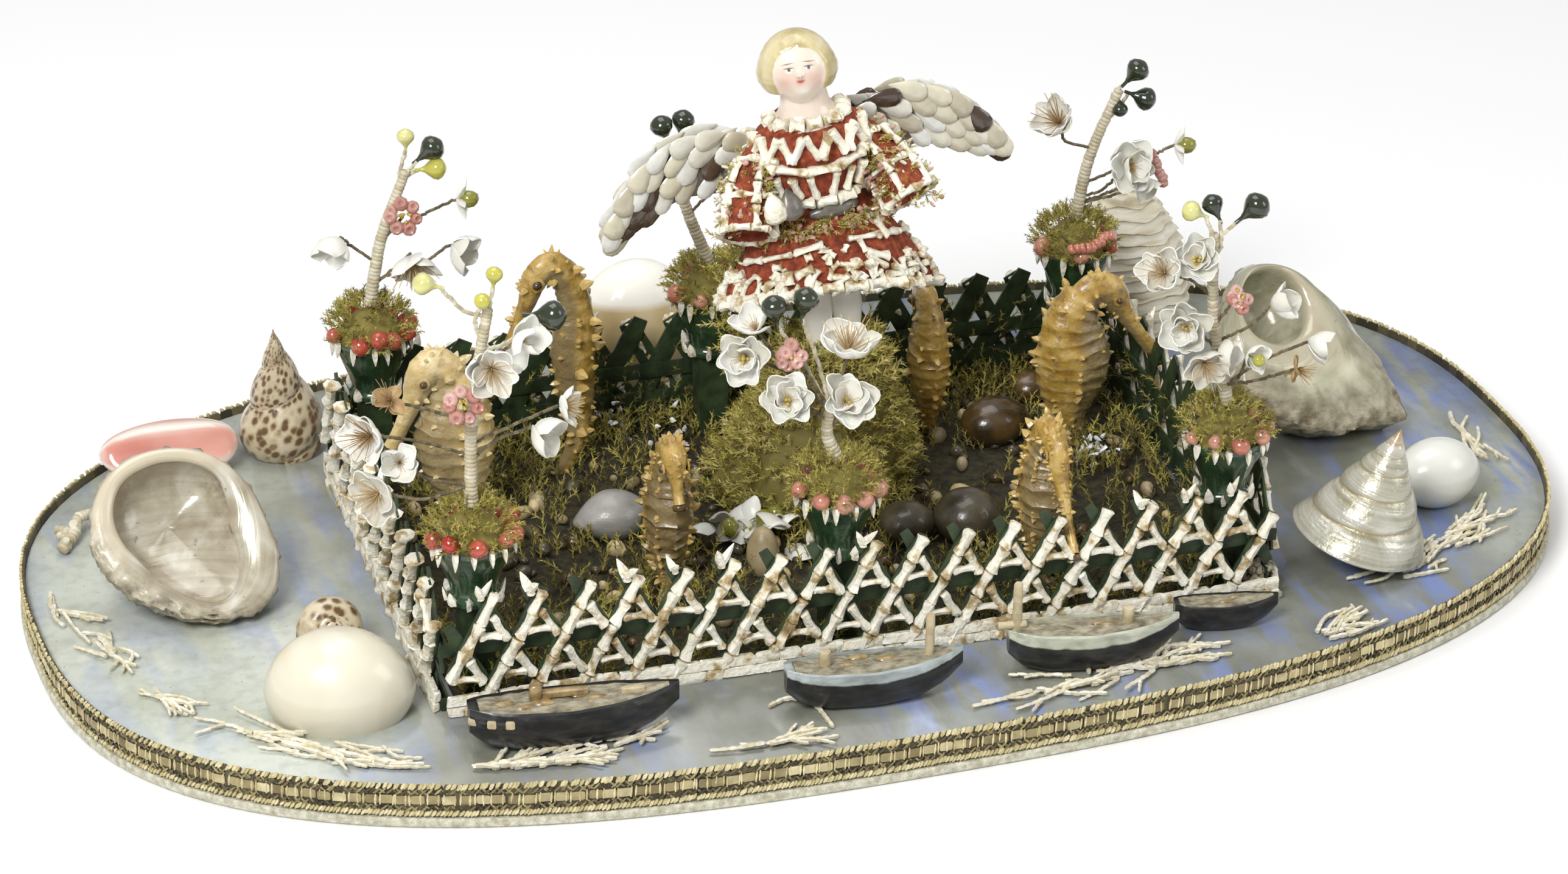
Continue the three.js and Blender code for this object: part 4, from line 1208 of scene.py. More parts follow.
# each ring of the dress is its height, half width, half depth and how far it hangs with the level hem
dressRings = [(18.5, 38, 22, 1), (21, 38, 22, .97), (28, 36, 21.5, .8), (38, 30.5, 19.5, .42),
              (47, 25, 17.5, .15), (54, 20, 15.5, .04), (60, 16.5, 13, 0), (66, 17, 13, 0), (74, 19.5, 13.5, 0),
              (82, 21, 13, 0), (88, 19, 12, 0), (92.6, 12.5, 9.6, 0)]
dressSides = 66
hemLift = 12.5
sleeve = {"path": [(14, 0, 85), (21, -1, 77), (27, -6, 66), (30.5, -14, 57)], "girths": (4.2, 7.2, 9.6),
          "sides": 18, "cuff": 10.2, "moss": {-1: 240, 1: 330}}


def sleevePath(side):
    return [(side * x, y, z) for x, y, z in sleeve["path"]]


def dressSpot(around, height, lift=0.0):
    # around is 0 at the front and grows to the viewer's right, in degrees
    heights, wides, deeps, hangs = zip(*dressRings)
    wide = np.interp(height, heights, wides) + lift
    deep = np.interp(height, heights, deeps) + lift
    a = radians(around)
    fold = 1 + .05 * sin(a * 11) * max(0, (56 - height) / 38)
    x = wide * fold * sin(a)
    rise = hemLift * max(0, cos(a)) ** 1.5 + x * tan(radians(doll["lean"]))
    return Vector((x, -deep * fold * cos(a), height + rise * np.interp(height, heights, hangs)))


def buildDress():
    rings = [[dressSpot(k * 360 / dressSides, ring[0]) for k in range(dressSides)] for ring in dressRings]
    middle = sum(rings[0], Vector()) / dressSides
    tuck = [middle + (spot - middle) * .9 + Vector((0, 0, 4)) for spot in rings[0]]
    bag = [(sweptModel(dressRed, [tuck] + rings), dollFrame, 0)]
    for side in (-1, 1):
        path = smoothPath(sleevePath(side), 3.2)
        shapes = []
        for i, spot in enumerate(path):
            girth = np.interp(i / (len(path) - 1), (0, .5, 1), sleeve["girths"])
            axis, across, up = aroundAim(path[min(i + 1, len(path) - 1)] - path[max(i - 1, 0)])
            shapes.append([Vector(spot) + swung(across, up, around) * girth * (1 + .05 * sin(k * 2.1))
                           for k, around in enumerate(circle(sleeve["sides"]))])
        for shrink, push in ((.88, 0), (.72, -7), (.3, -11)):
            middle = sum(shapes[-1], Vector()) / sleeve["sides"]
            shapes.append([middle + (spot - middle) * shrink + axis * push for spot in shapes[-1]])
        lay(bag, sweptModel(dressRed, shapes), dollFrame)
    buildPiece("red_dress", bag, "red_cloth", ["dress"], 50)


buildDress()


trimming = {
    "hemBits": 64, "garland": 400,
    "belt": [(-9.5, 1.2), (-7, 3), (-2, 4.2), (4, 3.9), (8, 2.4), (9.5, .8)],
    # two small shells on the chest: finish, place and tint
    "shells": [(ivoryBone, (-21, -17.5, 73), .3), (beltGrey, (-14.5, -15.5, 72), 0)],
}


def buildDressTrim():
    bag = []

    def trim(spots, girth, gap=.95, model=bone):
        for start, end in zip(spots[:-1], spots[1:]):
            start, end = Vector(start), Vector(end)
            size = (girth * draw(.85, 1.2), girth * draw(.8, 1.05), (end - start).length * gap)
            aim = end - start + jitter(.25)
            piece = bones3[dice.integers(3)] if model is bone else model
            lay(bag, piece, dollFrame @ put(start, aim, size, draw(-.5, .5)), chance() * .8)

    def along(degrees, height, lift=1.0):
        return [dressSpot(d, height(d) if callable(height) else height, lift) for d in degrees]

    trim(along(np.linspace(-115, 115, 10), 92, .6), 2.7)
    zigzag = [dressSpot(d, 88.5 if i % 2 == 0 else 79.5, 1.3) for i, d in enumerate(np.linspace(-100, 100, 15))]
    trim(zigzag, 2.3)
    trim(along(np.linspace(-78, 78, 6), lambda d: 75.5 + 6 * (d / 78) ** 2, 1.9), 2.1, 1.05)
    trim(along(np.linspace(-100, -40, 3), 80.5, 2.2), 1.4)
    for d in np.linspace(-66, 66, 8):
        pleat = [dressSpot(d + 5 * np.sign(d), 73.5, 1.4), dressSpot(d, 70, 1.5), dressSpot(d - 2, 65, 1.2)]
        trim(smoothPath(pleat, 9), 2.0, 1.0)
    trim(along(np.linspace(-85, 85, 8), 63, 1.5), 2.5)
    trim(along(np.linspace(-80, -8, 4), lambda d: 46.5 - 7 * abs(d) / 80, 1.4), 1.5)
    trim(along(np.linspace(10, 85, 4), lambda d: 47.5 - 8 * abs(d) / 85, 1.4), 1.5)
    for i, d in enumerate(np.linspace(-112, 112, 13)):
        if i % 3 == 0:
            arch = ((-7, 24, 1.2), (-5, 31, 1.2), (0, 34, 1.3), (5, 31, 1.2), (7, 24, 1.2))
            trim([dressSpot(d + off, height, lift) for off, height, lift in arch], 1.35, 1.05)
        else:
            root = dressSpot(d, 23.5, 1.4)
            trim([root, dressSpot(d + stray(2), 34, 1.2)], 2.3 if i % 3 == 1 else 1.5, .9, tooth)
            trim([root, dressSpot(d + 6, 33, 1.2)], 1.4, .9)
    for i in range(trimming["hemBits"]):
        d, height = draw(-120, 120), draw(22, 42)
        tip = dressSpot(d + stray(9), height + stray(5), 1.3)
        trim([dressSpot(d, height, 1.4), tip], draw(1.1, 2.0))
    trim(along(np.linspace(-180, 180, 31), 20.3, 1.6), 2.7, 1.0)
    trim(along(np.linspace(-110, -30, 9), 23, 1.2), 1.6)
    belt = turnedModel(beltGrey, trimming["belt"], 12)
    lay(bag, belt, dollFrame @ put(dressSpot(8, 58.5, -.5), (1, .12, 0), (.85, .8, 1)))
    for side in (-1, 1):
        path = [Vector(spot) for spot in sleevePath(side)]
        aim, across, up = aroundAim(path[-1] - path[-2])

        def band(knot, girth, count):
            return [path[knot] + swung(across, up, k * 2 * pi / count) * girth for k in range(count + 1)]
        trim(band(3, sleeve["cuff"], 10), 1.6)
        for around in circle(5):
            out = swung(across, up, around + .4)
            trim(smoothPath([path[1] + out * 7.5, path[2] + out * 9.2, path[3] + out * sleeve["cuff"]], 9), 1.6)
        trim(band(1, 7.6, 8), 1.5)
        trim(band(2, 9.0, 8), 1.5)
    for finish, spot, tint in trimming["shells"]:
        lay(bag, feather, dollFrame @ put(spot, (.1, -.25, -1), (4.8, 3.2, 12)), tint, finish)
    buildPiece("dress_bone_trim", bag, "white_shell", (), 55)
    bag = []
    bits = (inFinish(dimpled, waxPink), inFinish(sprigLink, sprigCream), inFinish(sprigLink, waxPink))

    def sprout(spot, out, size):
        mossTuft(bag, dollFrame @ spot, dollFrame.to_3x3() @ out, size, mossTint(.12))
        if chance() < .4:
            model = bits[dice.integers(3)]
            reach = draw(.6, 1.2)
            size = (reach, reach, reach) if model is bits[0] else (reach * .6, reach * .6, reach * 2.4)
            lay(bag, model, dollFrame @ put(spot + out * 2.5, out + jitter(.6), size), chance())
    for i in range(trimming["garland"]):
        d = draw(-150, 150)
        out = dressSpot(d, 54).normalized()
        sprout(dressSpot(d, 53.5 - 4.5 * abs(d) / 150 + stray(1.8), .8), Vector((out.x, out.y, .1)), 4.5)
    for side in (-1, 1):
        path = smoothPath(sleevePath(side), 1.0)
        for i in range(sleeve["moss"][side]):
            share, around = draw(.25, .98 if side > 0 else .8), draw(0, 2 * pi)
            spot = Vector(path[int(share * (len(path) - 1))])
            out = Vector((cos(around), sin(around) - .3, stray(.3))).normalized()
            sprout(spot + out * np.interp(share, (0, .5, 1), sleeve["girths"]), out, 4.5)
    buildPiece("dress_moss_garland", bag, "moss", (), 30)


buildDressTrim()


leg = {"profile": [(-6, 4.6), (-3, 5.0), (2, 4.0), (8, 5.2), (13, 6.0), (18, 6.0), (23, 5.6), (26, 5.2)],
       "apart": 5.6}


def buildLegs():
    model = turnedModel(chinaWhite, leg["profile"], 22, .85)
    bag = [(model, dollFrame @ moved(side * leg["apart"], 0, 0), 0) for side in (-1, 1)]
    buildPiece("china_legs", bag, "china", ["doll_leg_left", "doll_leg_right"], 60)


buildLegs()

wing = {"upper": [(8, 79), (20, 86), (36, 91), (52, 87), (66, 73), (77, 50)],
        "lower": [(10, 60), (18, 58), (30, 58), (44, 60), (60, 56), (77, 48)], "rows": 4, "columns": 9,
        "front": 14.0, "back": 19.0, "long": 17.5, "wide": 3.7}


def buildWing(name, side):
    upper, lower = smoothPath(wing["upper"], 1.0), smoothPath(wing["lower"], 1.0)
    bag = []
    for face, depth in ((-1, wing["front"]), (1, wing["back"])):
        for row in range(wing["rows"]):
            drop = (row + 1) / wing["rows"]
            columns = wing["columns"] - (1 if face > 0 else 0)
            for column in range(columns):
                share = (column + .35 + .4 * (row % 2)) / columns * 1.03
                at = min(share, 1) * (len(upper) - 2)
                top, low = upper[int(at)], lower[int(min(share, 1) * (len(lower) - 1))]
                edge = upper[int(at) + 1] - top
                along = atan2(edge[1], edge[0]) * 180 / pi + 5
                hang = -80 + 42 * share
                turn = radians(along + (hang - along) * (drop - .25) ** .8 + stray(3 if row == 0 else 8))
                aim = Vector((cos(turn), face * .12, sin(turn)))
                x, z = top + (low - top) * drop * .96
                long = wing["long"] * draw(.9, 1.12) * (.78 if row == 0 else 1)
                tip = Vector((x, depth + face * (2.2 - 2.6 * drop), z))
                start = tip - aim * long
                start.x, aim.x = side * start.x, side * aim.x
                dark = chance() < (.03 if row < 2 else .12 + .38 * share)
                tint = draw(.03, .14) if dark else draw(.22, 1)
                wide = wing["wide"] * draw(.85, 1.12)
                way = aim.normalized()
                flat = (Vector((0, face, 0)) - way * face * way.y).normalized()
                place = moved(*start) @ Matrix((flat.cross(way), flat, way)).transposed().to_4x4()
                lay(bag, feather, dollFrame @ place @ sized(wide, wide * .30, long), tint)
    outline = wing["upper"] + wing["lower"][::-1]
    middle = (wing["front"] + wing["back"]) / 2
    core = [[Vector((side * (x * .92 + 3), middle + push, (z - 68) * .72 + 68)) for x, z in outline]
            for push in (-1.2, 1.2)]
    lay(bag, sweptModel(beltGrey, core), dollFrame)
    buildPiece("shell_wing_" + name, bag, "feather_shell", ["wing_" + name], 60)


buildWing("left", -1)
buildWing("right", 1)
print("doll done")


# Seahorses: dried, ridged and spiny, all looking out of the garden

seahorses = {
    "front_left": {"at": (-61, -50), "tall": 70, "girth": 1.1, "facing": -90, "spiny": 1, "snout": .55},
    "front_right": {"at": (70, -74), "tall": 71, "girth": 1.1, "facing": -90, "spiny": 1, "snout": 1.3,
                    "reach": 1.4},
    "left": {"at": (-125, 18), "tall": 80, "girth": 1.2, "facing": 180, "spiny": .42, "finish": paleHide},
    "right": {"at": (117, 25), "tall": 73, "girth": 1.3, "facing": 0, "spiny": .55, "reach": 1.45},
    "back_left": {"at": (-72, 56), "tall": 98, "girth": .92, "facing": 185, "spiny": .55, "slim": .62},
    "back_right": {"at": (66, 50), "tall": 64, "girth": 1.1, "facing": 90, "spiny": .4},
}
# along the body from the tail: forward and up as shares of the height, then the half depth
seahorseBody = [(.03, 0, .05), (-.02, .1, .062), (-.045, .2, .08), (-.04, .36, .13), (-.03, .53, .155),
                (-.04, .69, .125), (-.015, .81, .098), (.045, .885, .092), (.105, .85, .085), (.155, .73, .052),
                (.21, .61, .036), (.26, .51, .04)]


def buildSeahorse(name, plan):
    tall, sides, reach = plan["tall"], 16, plan.get("reach", 1)
    finish = plan.get("finish", seahorseHide)
    brow = np.array(seahorseBody[8])
    stretch = np.array((plan.get("snout", 1), plan.get("snout", 1), 1))
    body = seahorseBody[:9] + [tuple(brow + (np.array(spot) - brow) * stretch) for spot in seahorseBody[9:]]
    path = smoothPath([(x if z < .6 and i < 9 else -.04 + (x + .04) * reach, z, half)
                       for i, (x, z, half) in enumerate(body)], .017)
    bony, slim = .3 + .7 * plan["spiny"], plan.get("slim", 1)
    rings, flows, spines = [], [], []
    for i, (x, z, half) in enumerate(path):
        share = i / (len(path) - 1)
        ahead = path[min(i + 1, len(path) - 1)] - path[max(i - 1, 0)]
        back = Vector((-ahead[1], 0, ahead[0])).normalized()
        head = share > .66
        ridge = 1.0 if i % 4 == 0 and not head else .3 if head else 0.0
        girth = (half * tall * slim * (plan["girth"] if share < .6 else 1)
                 * (1 if head or ridge == 1.0 else 1 - .05 * bony))
        ring, flow = [], []
        for k, around in enumerate(circle(sides)):
            corner = 1 + (.06 * bony * ridge + .01 if k % 2 == 0 else -.03 * bony)
            out = Vector((0, sin(around) * .74, 0)) + back * cos(around)
            spot = (Vector((x * tall, 0, z * tall))
                    + out * girth * corner * (1 + stray(.012 + .03 * plan["spiny"])))
            ring.append(spot)
            flow.append((share, .5 - .5 * cos(around), ridge * (1.0 if k % 2 == 0 else .4)))
            onBack = cos(around) > -.3
            onRidge = ridge == 1.0 and k % 2 == 0 and share > .1
            if onRidge and chance() < plan["spiny"] * (.9 if onBack else .45):
                spines.append((spot - out * girth * .06, out + Vector((0, 0, .2)),
                               tall * (.040 if onBack else .026)))
            elif k % 2 == 0 and share < .9 and chance() < plan["spiny"] ** 2 * .3:
                spines.append((spot - out * girth * .06, out, tall * .024))
        rings.append(ring)
        flows.append(flow)
    home = onSea(plan["at"], plan["facing"])
    bag = [(sweptModel(finish, rings, flows), home, 0)]
    spine = {**inFinish(tooth, finish), "flow": np.tile([.5, 0, .9], (len(tooth["points"]), 1))}
    for spot, out, long in spines:
        long *= draw(.6, 1.4)
        lay(bag, spine, home @ put(spot, out + jitter(.25), (long * .44, long * .7, long)))
    lead = -.04 + .09 * reach
    for around in circle(6):
        out = Vector((.45 * cos(around), .5 * sin(around), 1))
        crown = Vector((lead * tall + out.x * 4 * slim, out.y * 4 * slim, (.935 - .12 * (1 - slim)) * tall))
        lay(bag, spine, home @ put(crown, out, (1.6, 2.4, .065 * tall * draw(.6, 1.1))))
    for lean in (-1, 1):
        eye = Vector(((-.04 + .16 * reach) * tall, lean * .058 * tall * slim, .835 * tall))
        lay(bag, link, home @ put(eye, (0, lean, 0), (.032 * tall, .032 * tall, .012 * tall)), 0, finish)
        lay(bag, bead, home @ put(eye + Vector((0, lean * .01 * tall, 0)), size=.019 * tall), 0, pebbleBrown)
    snout = Vector((path[-1][0] * tall, 0, path[-1][1] * tall))
    lay(bag, link, home @ put(snout, (.36, 0, -.9), (.038 * tall, .034 * tall, .035 * tall)), 0, pebbleBrown)
    buildPiece("dried_seahorse_" + name, bag, "seahorse_hide", ["seahorse_" + name], 55)


for name, plan in seahorses.items():
    buildSeahorse(name, plan)
print("seahorses done")


# Cut turban shells: a bowl whose polished lip winds into a spiral

turbans = {
    "turban_shell_left": {
        "at": (-222, -3, 43), "tilt": (47, 3), "depth": 28, "finish": nacreLeft, "rise": .0,
        "cream": (60, 200), "wear": (-175, -70),
        "rim": [(-36, 4), (-32, 17), (-21.5, 27), (-8, 30.4), (7, 28), (19, 18), (25.5, 1), (28, -16),
                (23.5, -29), (12, -33.5), (-3, -33), (-17, -26.5), (-29.6, -16.7), (-35.6, -7)],
        "hole": [(-5.6, -23.5), (-13.7, -16.5), (-21.4, -7.8), (-27.4, 6.7), (-22.9, 19.1), (-13.8, 24.1),
                 (-3.5, 25.4), (6.2, 22.5), (11.9, 16.6), (13.4, 10.4), (12.6, 0), (14.7, -12.3), (12.2, -22.4),
                 (4.6, -27.4)],
        "middle": (-6, 7), "open": -48},
    "turban_shell_right": {
        "at": (213, 20, 46), "tilt": (43, 12), "depth": 30, "finish": nacreRight, "rise": .22,
        "cream": (400, 400), "wear": (-160, -25),
        "rim": [(-27, 31.4), (-14.6, 32), (-1.3, 26.6), (5.5, 17.5), (16.5, 0), (26, -20), (30.5, -33),
                (10, -33.5), (-14.7, -34), (-30, -27), (-42, -15), (-42.7, 2), (-35, 21.7)],
        "hole": [(-28.5, 25.2), (-12.3, 25.8), (-7.1, 15.5), (-8.5, 5.6), (-17.1, -1.5), (-32.2, 1.8),
                 (-35, 14)],
        "middle": (-20, 13), "open": 400},
}
# rings of the outside, the lip and the bowl: how far out or in, then the height as a share of the depth
turbanOutside = [(.20, -.95), (.48, -.90), (.72, -.74), (.87, -.54), (.95, -.34), (.995, -.16), (1.01, -.05)]
turbanLip = [(.0, .0), (.08, .03), (.18, .045), (.28, .055), (.40, .06), (.55, .06), (.80, .045), (.94, .01),
             (1.0, -.03)]
turbanBowl = [(1.03, -.12), (1.0, -.28), (.90, -.44), (.72, -.55), (.48, -.61), (.22, -.635), (.06, -.64)]


def tilted(plan):
    tip, roll = plan["tilt"]
    return moved(*plan["at"]) @ spun(tip, "X") @ spun(roll, "Y")


def loopAround(points, middle, angles):
    # the distance of a closed line of points from its middle, at each angle
    reach = np.array(points, float) - np.array(middle)
    turns = np.arctan2(reach[:, 1], reach[:, 0])
    order = np.argsort(turns)
    far = np.linalg.norm(reach, axis=1)[order]
    turns = turns[order]
    raw = np.interp(angles, np.concatenate([turns - 2 * np.pi, turns, turns + 2 * np.pi]), np.tile(far, 3))
    return sum(np.roll(raw, k) for k in (-2, -1, 0, 1, 2)) / 5


def buildTurban(name, plan):
    sides = 120
    angles = np.linspace(-np.pi, np.pi, sides, endpoint=False)
    degrees = np.degrees(angles) % 360
    ways = np.stack([np.cos(angles), np.sin(angles)], 1)
    middle, depth, rise = np.array(plan["middle"]), plan["depth"], plan["rise"]
    heart = np.mean(plan["rim"], axis=0)
    rim = heart + ways * loopAround(plan["rim"], heart, angles)[:, None]
    hole = middle + ways * loopAround(plan["hole"], middle, angles)[:, None]

    def between(bounds):
        low, high = (b % 360 if b < 360 else 999 for b in bounds)
        return np.clip(1 - np.maximum(low - degrees, degrees - high) / 25, 0, 1)

    def calm(noise):
        return (noise + np.roll(noise, 1) + np.roll(noise, -1)) / 2
    cream, wear = between(plan["cream"]), between(plan["wear"])
    # the bowl's wall dies away on its open side, where the floor runs out into the lip
    off = np.abs((angles - radians(plan["open"]) + np.pi) % (2 * np.pi) - np.pi)
    shut = np.clip((off - .3) / 1.3, 0, 1) if plan["open"] < 360 else np.ones(sides)
    shut = shut * shut * (3 - 2 * shut)
    rings, flows = [], []
    for scale, height in turbanOutside:
        wrinkle = 1 + .018 * np.sin(17 * angles + 9 * height) + .014 * np.sin(37 * angles - 14 * height)
        flat = heart + (rim - heart) * (scale * (wrinkle + .6 * calm(dice.normal(0, .012, sides))))[:, None]
        rings.append(np.column_stack([flat, height * depth + calm(dice.normal(0, .3, sides))]))
        flows.append([(1 if height < -.1 else .8, 0, 30 * height)] * sides)
    for share, height in turbanLip:
        rough = wear * max(0, 1 - (1.3 if rise == 0 else 2.0) * share)
        lumps = calm(dice.normal(0, 1, sides)) * rough
        flat = rim + (hole - rim) * share + ways * lumps[:, None] * .6
        level = height - .10 * (1 - shut) * share + rise * np.sin(share * np.pi / 2)
        rings.append(np.column_stack([flat, level * depth + lumps]))
        pale = np.maximum(cream, .6 * (share > .75) if rise else 0) * (.85 if share > .05 else .3)
        flows.append([(r, q * (1 - r), 1.4 * a + 7 * share) for r, q, a in zip(rough, pale, off)])
    for share, height in turbanBowl:
        inner = min(share, 1)
        tuck = .16 * np.exp(-((angles - .55) / .5) ** 2) * (rise == 0) * (inner > .8)
        flat = middle + (hole - middle) * (inner + (share - inner) * shut + tuck)[:, None]
        floor = height * shut - (.13 + .51 * (1 - inner) ** .8) * (1 - shut)
        rings.append(np.column_stack([flat, (floor + rise * .6) * depth]))
        # growth lines sweep across the bowl, with brown painted shade high at its back and, in the left shell,
        # a darker painted shadow under the overhanging lip at its upper right
        sweeping = .30 * (flat[:, 1] + .15 * flat[:, 0] + .012 * flat[:, 0] ** 2)
        darkening = .42 * np.exp(-((angles - 1.75) / .8) ** 2 - ((inner - .6) / .35) ** 2)
        darkening += .8 * np.exp(-((angles - .5) / .42) ** 2 - ((inner - .92) / .08) ** 2) * (rise == 0)
        flows.append([(s, 0, g) for s, g in zip(darkening, sweeping)])
    buildBody("cut_" + name, (rings, flows), plan["finish"], tilted(plan), "nacre", name, 80)


for name, plan in turbans.items():
    buildTurban(name, plan)


# Spire shells: a cone whose side swells with each whorl of the spiral

def spireRings(tall, girth, whorls, growth, swell, waist, sides=64, levels=110):
    rings, flows = [], []
    angles = np.arange(sides) * 2 * pi / sides
    ways = np.stack([np.cos(angles + pi / 2), np.sin(angles + pi / 2)], 1)
    for i in range(levels + 1):
        fall = i / levels  # 0 at the base and 1 at the apex
        size = max(.015, 1 - fall)
        turns = log(1 + size * (growth ** whorls - 1)) / log(growth) + angles / (2 * pi)
        part = turns % 1
        bulge = swell * size * (np.sin(pi * part) ** .7 - .5)
        base = 1.0 if fall > waist else .68 + .32 * sin(fall / waist * pi / 2) ** .8
        r = girth * (size * base + bulge * base)
        rings.append(np.column_stack([ways * r[:, None], np.full(sides, tall * fall)]))
        seam = np.exp(-(part / .05) ** 2) + np.exp(-((part - 1.0) / .05) ** 2)
        flows.append(list(zip(np.full(sides, fall), seam, seam)) if swell < .15
                     else list(zip(angles / (2 * pi) + .37 * np.floor(turns), part * 4.5, seam)))
    return rings, flows


spires = {
    "pearly_top_shell": {"at": (185, -88, 21), "tilt": (6, 15), "tall": 47, "girth": 26, "whorls": 6.5,
                         "growth": 1.32, "swell": .07, "waist": .06, "finish": pearlyTop, "slot": "nacre"},
    "spotted_spire_shell": {"at": (-169, 106, 14.4), "tilt": (8, -4), "tall": 53, "girth": 19.5, "whorls": 3.6,
                            "growth": 1.55, "swell": .19, "waist": .30, "finish": spottedShell,
                            "slot": "spotted_shell"},
}
for name, plan in spires.items():
    rings = spireRings(*(plan[key] for key in ("tall", "girth", "whorls", "growth", "swell", "waist")))
    buildBody("wound_" + name, rings, plan["finish"], tilted(plan), plan["slot"], name, 40)


# Coiled small turban: a growing tube wound about its own axis

smallTurban = {"at": (-183, -50, 22), "lie": 70, "roll": 200, "growth": 1.55, "rings": 70, "ringsPerTurn": 22,
               "coil": 7.2, "girth": 7.0, "rise": 8.5, "sides": 14, "throat": (2.6, -3.6, 0)}


def buildSmallTurban():
    growth, count, perTurn, sides = (smallTurban[key] for key in ("growth", "rings", "ringsPerTurn", "sides"))
    rings, flows = [], []
    for i in range(count):
        turn = i * 2 * pi / perTurn
        size = growth ** (turn / (2 * pi)) / growth ** ((count - 1) / perTurn)
        middle = polar(turn, smallTurban["coil"] * size, smallTurban["rise"] * (1 - size))
        rings.append([middle + swung(polar(turn), Vector((0, 0, 1)), around) * smallTurban["girth"] * size
                      for around in circle(sides)])
        flows.append([(turn * .09, k / 1.8, 0) for k in range(sides)])
    mouth = sum(rings[-1], Vector()) / sides
    rings.append([mouth + (spot - mouth) * .82 for spot in rings[-1]])
    rings.append([mouth + (spot - mouth) * .5 + Vector(smallTurban["throat"]) for spot in rings[-2]])
    flows += [flows[-1], flows[-1]]
    place = moved(*smallTurban["at"]) @ spun(smallTurban["lie"], "X") @ spun(smallTurban["roll"])
    buildBody("coiled_small_turban", (rings, flows), spottedShell, place, "spotted_shell",
              "small_turban_shell", 50)


buildSmallTurban()


# Smooth domed shells and stones: egg forms that lie on a flattened underside

domes = {
    "moon_shell": {"at": (-189, -92), "half": (26, 20, 31), "turn": -12, "point": .10, "finish": moonShell,
                   "slot": "white_shell", "foot": .58},
    "egg_shell": {"at": (230, -54), "half": (17, 13, 25), "turn": 10, "point": .10, "finish": eggShell,
                  "slot": "white_shell"},
    "cream_shell": {"at": (-28, 119), "half": (27, 17, 54), "point": .2, "finish": creamShell,
                    "slot": "cream_shell"},
    "garden_pearl_shell": {"at": (-69, 4), "half": (15, 11, 18), "turn": 190, "point": .45,
                           "finish": musselGrey, "slot": "nacre"},
    "garden_tulip_shell": {"at": (-24, -40), "half": (6, 6, 20), "point": .1, "finish": tulipTan,
                           "slot": "cream_shell"},
    "garden_limpet_left": {"at": (33, -30), "half": (11, 10, 16), "point": .15, "finish": garnetStone,
                           "slot": "dark_shell"},
    "garden_limpet_right": {"at": (55, -34), "half": (13, 12, 20), "turn": 20, "point": .15,
                            "finish": garnetStone, "slot": "dark_shell"},
    "garden_pebble_front": {"at": (89, 37), "half": (14, 11, 18), "turn": 15, "point": .1,
                            "finish": pebbleBrown, "slot": "dark_shell"},
    "garden_pebble_back": {"at": (113, 66), "half": (9, 8, 12), "point": .05, "finish": pebbleBrown,
                           "slot": "dark_shell"},
}


def skin(levels, sides, spot):
    # rings of points by the share of the way along and the angle around
    return [[spot(i / levels, around) for around in circle(sides)] for i in range(levels + 1)]


def domeRings(plan):
    # half is its half length, half width and full height
    (long, wide, tall), point, foot = plan["half"], plan["point"], plan.get("foot", .1)

    def spot(share, around):
        rise = foot + (2 - foot) * share - 1
        girth = sqrt(max(.0004, 1 - rise ** 2))
        c, s = cos(around), sin(around)
        pointed = 1 - point * (c if c > 0 else .35 * -c) * abs(rise)
        narrow = 1 - point * .8 * max(0, c)
        return long * girth * c * pointed, wide * girth * s * narrow, tall * (1 + rise - foot) / (2 - foot)
    return skin(24, 36, spot)


for name, plan in domes.items():
    place = onSea(plan["at"], plan.get("turn", 0))
    buildBody("smooth_" + name, (domeRings(plan),), plan["finish"], place, plan["slot"], name, 60)


pinkDish = {"at": (-214, 99, 22), "tip": 20, "half": (26, 13, 9.5), "hollow": .42, "faces": 2.15, "sides": 48,
            "rings": 36}


def buildPinkShell():
    # a chunky dish: hollow towards the front, with a white rim
    long, wide, tall = pinkDish["half"]

    def spot(share, around):
        t, up = -1 + 2 * share, sin(around)
        girth = max(.03, (1 - abs(t) ** 3.0)) ** .5 * (1 - .12 * max(0, -t))
        off = abs(around - pinkDish["faces"])
        dish = max(0, cos(min(off / .85, 1) * pi / 2)) * (1 - t ** 4)
        scale = girth * (1 - pinkDish["hollow"] * dish) * (1 + .03 * sin(4 * t + 3 * around))
        return long * t, wide * cos(around) * scale, tall * up * (1 if up > 0 else .7) * scale + 1.6 * t * t

    def rim(share, around):
        off, end = abs(around - pinkDish["faces"]), abs(-1 + 2 * share)
        return min(1, exp(-((off - .95) / .20) ** 2) + max(0, end - .88) * 5 + max(0, -sin(around)) * .8), 0, 0
    rings, flows = (skin(pinkDish["rings"], pinkDish["sides"], way) for way in (spot, rim))
    place = moved(*pinkDish["at"]) @ spun(pinkDish["tip"], "X")
    buildBody("glossy_pink_shell", (rings, flows), pinkShell, place, "pink_shell", "pink_shell", 60)


buildPinkShell()


ribbed = {"at": (170, 121), "half": (26, 21), "tall": 58, "layers": 13, "sides": 52, "levels": 104}


def buildRibbed():
    long, wide = ribbed["half"]

    def spot(share, around):
        girth = sqrt(max(.004, 1 - share ** 2.4)) * (1.0 + .10 * (1 - (share * ribbed["layers"]) % 1) - .05)
        girth *= 1 + .03 * sin(9 * around + 7 * share) + .02 * sin(17 * around - 9 * share)
        lift = ribbed["tall"] * share + .9 * sin(5 * around + 6 * share)
        return long * girth * cos(around), wide * girth * sin(around), lift if share else 0
    rings = skin(ribbed["levels"], ribbed["sides"], spot)
    buildBody("layered_ribbed_shell", (rings,), ribbedShell, onSea(ribbed["at"]), "white_shell",
              "ribbed_shell", 35)


buildRibbed()


petalGroup = {"at": (-23, -16), "petals": 17, "fruits": [(-8, -5, 11), (5, -4, 12), (11, 2, 10)]}


